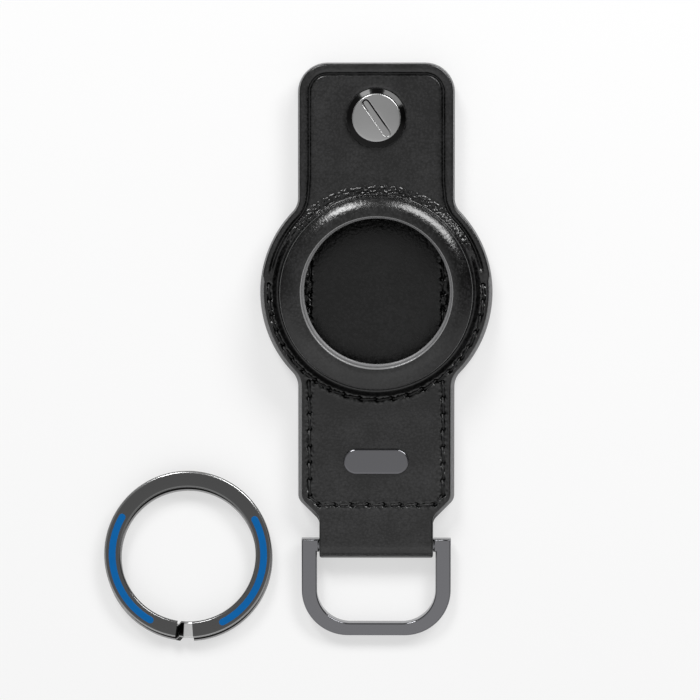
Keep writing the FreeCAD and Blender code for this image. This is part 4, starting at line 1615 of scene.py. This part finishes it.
def key_ring():
    """Split ring of flat wire: an upper turn, a jog and a lower turn."""
    metal = settings().metal
    # Marks of a painted highlight on the wire's edges and jog, and of painted shade on its sides and covered
    # flat
    bm, painted_highlight = new_piece()
    painted_shade = bm.verts.layers.float.new("painted_shade")
    half = metal.wire_height / 2
    section = wire_section(bm, painted_highlight, painted_shade, key_high.z - half)
    rise = key_high.z - key_low.z - metal.wire_height
    stages = [(metal.wire_turn, rim_steps * 3, 0.0)]
    stages += [(metal.wire_jog * sweep, 1, -rise * fall) for sweep, fall in jog_stages]
    stages.append((metal.wire_turn, rim_steps * 3, 0.0))
    centre = (key_centre.x, key_centre.y, 0)
    for sweep, steps, drop in stages:
        section = spin(bm, section, centre, (0, 0, 1), -sweep, steps, drop)
    bmesh.ops.holes_fill(bm, edges=open_edges(bm), sides=0)
    mark_turns(bm, painted_highlight, painted_shade)
    shift = Vector(metal.lower_shift)
    for vert in bm.verts:
        risen = smooth_step(key_low.z + metal.wire_height, key_high.z - metal.wire_height, vert.co.z)
        vert.co.xy += shift * (1 - risen)
    piece = finish_mesh("split_ring", bm, shaded_ring_metal(), sharp=40, weighted=True)
    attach(piece, "key_ring")
    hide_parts("key_ring")
    enamel("blue_inlay_left", metal.enamel_left, "enamel_left")
    enamel("blue_inlay_right", metal.enamel_right, "enamel_right")


def mark_turns(bm, painted_highlight, painted_shade):
    """Marks a painted highlight on the level start of the key ring's jog, and painted shade on the lower turn's
    covered flat.
    """
    metal = settings().metal
    first = metal.wire_end - metal.wire_turn
    last = first - metal.wire_jog * jog_highlight_share
    covered = key_low.z + metal.wire_height / 2
    for vert in bm.verts:
        angle = math.atan2(vert.co.y - key_centre.y, vert.co.x - key_centre.x)
        if last < angle < first and vert.co.z > key_centre.z:
            vert[painted_highlight] = 1.0
        elif covered < vert.co.z < key_centre.z:
            vert[painted_highlight] = wire_outer_highlight if vert[painted_highlight] > 0 else 0.0
            vert[painted_shade] = 0.0 if vert[painted_highlight] > 0 else wire_shade_share


def enamel(name, span, node):
    """Round-ended arc of enamel in the ring's flat."""
    metal = settings().metal
    first, last = (math.degrees(angle) for angle in span)
    half = metal.enamel_width / 2
    middle = key_radius - metal.wire_width / 2
    x, y = key_centre.x, key_centre.y
    ends = [arc(x, y, middle, angle, angle + 1, 1)[0] for angle in (first, last)]
    outline = arc(x, y, middle + half, first, last, rim_steps)
    outline += arc(*ends[1], half, last, last + 180, corner_steps)
    outline += arc(x, y, middle - half, last, first, rim_steps)
    outline += arc(*ends[0], half, first + 180, first + 360, corner_steps)
    top = key_high.z + metal.enamel_rise
    bm = slab(outline, top - metal.enamel_depth, top, metal.enamel_edge, lower_edge=False)
    piece = finish_mesh(name, bm, enamel_material(), sharp=40, weighted=True)
    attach(piece, "key_ring")
    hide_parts(node)


# Stage


def studio():
    """Pale floor, soft light and a camera at the photograph's angle."""
    scene = bpy.context.scene
    scene.view_settings.view_transform = "Standard"
    add_floor()
    add_world()
    add_softboxes()
    add_camera()


def add_floor():
    """Pale floor under the holder, which is clear from below."""
    material, tree, shader = new_material("pale floor")
    shader.inputs["Base Color"].default_value = opaque(settings().finish.floor)
    shader.inputs["Roughness"].default_value = floor_dullness
    shader.inputs["Specular IOR Level"].default_value = 0.0
    surface = shader.outputs["BSDF"].links[0].to_socket
    path = add_node(tree, "ShaderNodeLightPath").outputs
    seen = math_node(tree, "MAXIMUM", path["Is Camera Ray"], path["Is Glossy Ray"])
    share = math_node(tree, "MULTIPLY", seen, settings().stage.floor_white)
    white = add_node(tree, "ShaderNodeEmission", {"Strength": 1.0})
    mixed = add_node(tree, "ShaderNodeMixShader", {0: share, 1: shader.outputs["BSDF"], 2: white.outputs[0]})
    behind = add_node(tree, "ShaderNodeNewGeometry").outputs["Backfacing"]
    clear = add_node(tree, "ShaderNodeBsdfTransparent")
    shown = add_node(tree, "ShaderNodeMixShader", {0: behind, 1: mixed.outputs[0], 2: clear.outputs[0]})
    tree.links.new(shown.outputs[0], surface)
    bm = bmesh.new()
    place = Matrix.Translation((0, 0, -settings().outline.layer_gap))
    bmesh.ops.create_grid(bm, x_segments=1, y_segments=1, size=settings().stage.distance * 2, matrix=place)
    mesh = as_mesh("floor", bm)
    mesh.materials.append(material)
    floor = add_object("floor", mesh)


def add_world():
    """Soft light all round, brighter overhead and on the strap's side."""
    stage = settings().stage
    world = bpy.data.worlds.new("soft studio")
    world.use_nodes = True
    bpy.context.scene.world = world
    tree = world.node_tree
    tree.nodes.clear()
    place = add_node(tree, "ShaderNodeTexCoord").outputs["Generated"]
    parts = add_node(tree, "ShaderNodeSeparateXYZ", {"Vector": place}).outputs
    risen = ease_node(tree, parts["Z"], dome_rise)
    low = ease_node(tree, parts["Z"], near_rise, last=stage.near_side)
    near = ease_node(tree, parts["Y"], near_turn)
    shaded = stage.dome * (1 - stage.right_shade)
    dome = ease_node(tree, parts["X"], shade_turn, stage.dome, shaded)
    above = math_node(tree, "POWER", math_node(tree, "MAXIMUM", parts["Z"], 0.0), overhead_focus)
    light = math_node(tree, "MULTIPLY_ADD", dome, risen, stage.horizon)
    light = math_node(tree, "MULTIPLY_ADD", near, low, light)
    light = math_node(tree, "MULTIPLY_ADD", above, stage.overhead, light)
    background = add_node(tree, "ShaderNodeBackground", {"Strength": light})
    output = tree.nodes.new("ShaderNodeOutputWorld")
    tree.links.new(background.outputs[0], output.inputs["Surface"])


def add_softboxes():
    """Two low softboxes beyond the tab, whose light lies along the ridge."""
    stage = settings().stage
    for name, azimuth, rise, width, power in (
        ("softbox_right", stage.right_azimuth, stage.right_rise, stage.right_width, stage.right_power),
        ("softbox_left", stage.left_azimuth, stage.left_rise, stage.left_width, stage.left_power),
    ):
        lamp = bpy.data.lights.new(name, "AREA")
        lamp.shape = "RECTANGLE"
        lamp.size = width
        lamp.size_y = stage.softbox_height
        lamp.energy = power
        box = add_object(name, lamp)
        level = math.cos(rise)
        aim = Vector((math.cos(azimuth) * level, math.sin(azimuth) * level, math.sin(rise)))
        box.location = aim * stage.softbox_distance
        box.rotation_euler = aim.to_track_quat("Z", "Y").to_euler()


def add_camera():
    """Camera above the holder, leaning a little to the tab and to the right."""
    stage = settings().stage
    back = Vector((math.sin(stage.lean), math.sin(stage.tilt), 1)).normalized()
    side = Vector((0, 1, 0)).cross(back).normalized()
    axes = Matrix((side, back.cross(side), back)).transposed()
    lens = bpy.data.cameras.new("camera")
    lens.sensor_fit = "HORIZONTAL"
    lens.lens = lens.sensor_width * stage.distance / stage.frame_width
    camera = add_object("camera", lens)
    aim = Vector((stage.aim_x, stage.aim_y, fold_z))
    camera.matrix_world = Matrix.Translation(aim + back * stage.distance) @ axes.to_4x4()
    bpy.context.scene.camera = camera


# Operators and panel


class TAG_HOLDER_OT_front_cover(bpy.types.Operator):
    """Make the front leather with its ridge, crease and fold"""

    bl_idname = "tag_holder.front_cover"
    bl_label = "Front Cover"
    bl_options = {"REGISTER", "UNDO"}

    def execute(self, context):
        front_cover()
        return {"FINISHED"}


class TAG_HOLDER_OT_linings(bpy.types.Operator):
    """Make the linings of the ridge and of the pocket's floor"""

    bl_idname = "tag_holder.linings"
    bl_label = "Linings"
    bl_options = {"REGISTER", "UNDO"}

    def execute(self, context):
        ridge_lining()
        floor_lining()
        return {"FINISHED"}


class TAG_HOLDER_OT_back_layers(bpy.types.Operator):
    """Make the back leather and the strap's return up the back"""

    bl_idname = "tag_holder.back_layers"
    bl_label = "Back Layers"
    bl_options = {"REGISTER", "UNDO"}

    def execute(self, context):
        back_panel()
        back_strap()
        return {"FINISHED"}


class TAG_HOLDER_OT_seams(bpy.types.Operator):
    """Sew the four rows of stitches"""

    bl_idname = "tag_holder.seams"
    bl_label = "Seams"
    bl_options = {"REGISTER", "UNDO"}

    def execute(self, context):
        seams()
        return {"FINISHED"}


class TAG_HOLDER_OT_closure(bpy.types.Operator):
    """Make the slotted screw, its washer and its post"""

    bl_idname = "tag_holder.closure"
    bl_label = "Screw Closure"
    bl_options = {"REGISTER", "UNDO"}

    def execute(self, context):
        screw()
        washer()
        post()
        return {"FINISHED"}


class TAG_HOLDER_OT_badge(bpy.types.Operator):
    """Make the plain badge on the strap"""

    bl_idname = "tag_holder.badge"
    bl_label = "Badge"
    bl_options = {"REGISTER", "UNDO"}

    def execute(self, context):
        badge()
        return {"FINISHED"}


class TAG_HOLDER_OT_d_ring(bpy.types.Operator):
    """Make the D-ring in the strap's fold"""

    bl_idname = "tag_holder.d_ring"
    bl_label = "D-Ring"
    bl_options = {"REGISTER", "UNDO"}

    def execute(self, context):
        d_ring()
        return {"FINISHED"}


class TAG_HOLDER_OT_key_ring(bpy.types.Operator):
    """Make the split key ring with its enamel"""

    bl_idname = "tag_holder.key_ring"
    bl_label = "Key Ring"
    bl_options = {"REGISTER", "UNDO"}

    def execute(self, context):
        key_ring()
        return {"FINISHED"}


class TAG_HOLDER_OT_stage(bpy.types.Operator):
    """Set up the floor, the light and the camera"""

    bl_idname = "tag_holder.stage"
    bl_label = "Stage"
    bl_options = {"REGISTER", "UNDO"}

    def execute(self, context):
        studio()
        return {"FINISHED"}


operators = (
    TAG_HOLDER_OT_front_cover,
    TAG_HOLDER_OT_linings,
    TAG_HOLDER_OT_back_layers,
    TAG_HOLDER_OT_seams,
    TAG_HOLDER_OT_closure,
    TAG_HOLDER_OT_badge,
    TAG_HOLDER_OT_d_ring,
    TAG_HOLDER_OT_key_ring,
    TAG_HOLDER_OT_stage,
)


class TAG_HOLDER_PT_main(bpy.types.Panel):
    """Lists the steps of the holder"""

    bl_label = "Leather Tag Holder"
    bl_idname = "TAG_HOLDER_PT_main"
    bl_space_type = "VIEW_3D"
    bl_region_type = "UI"
    bl_category = "Tag Holder"

    def draw(self, context):
        for operator in operators:
            self.layout.operator(operator.bl_idname)


setting_groups = (OutlineSizes, RidgeSizes, SeamSizes, MetalSizes, Finishes, StageSettings, HolderSettings)


def register():
    for part in setting_groups + operators + (TAG_HOLDER_PT_main,):
        bpy.utils.register_class(part)
    bpy.types.Scene.tag_holder = PointerProperty(type=HolderSettings)


def unregister():
    del bpy.types.Scene.tag_holder
    for part in reversed(setting_groups + operators + (TAG_HOLDER_PT_main,)):
        bpy.utils.unregister_class(part)


def main():
    register()
    bpy.ops.tag_holder.front_cover()
    bpy.ops.tag_holder.linings()
    bpy.ops.tag_holder.back_layers()
    bpy.ops.tag_holder.seams()
    bpy.ops.tag_holder.closure()
    bpy.ops.tag_holder.badge()
    bpy.ops.tag_holder.d_ring()
    bpy.ops.tag_holder.key_ring()
    bpy.ops.tag_holder.stage()


if __name__ == "__main__":
    main()
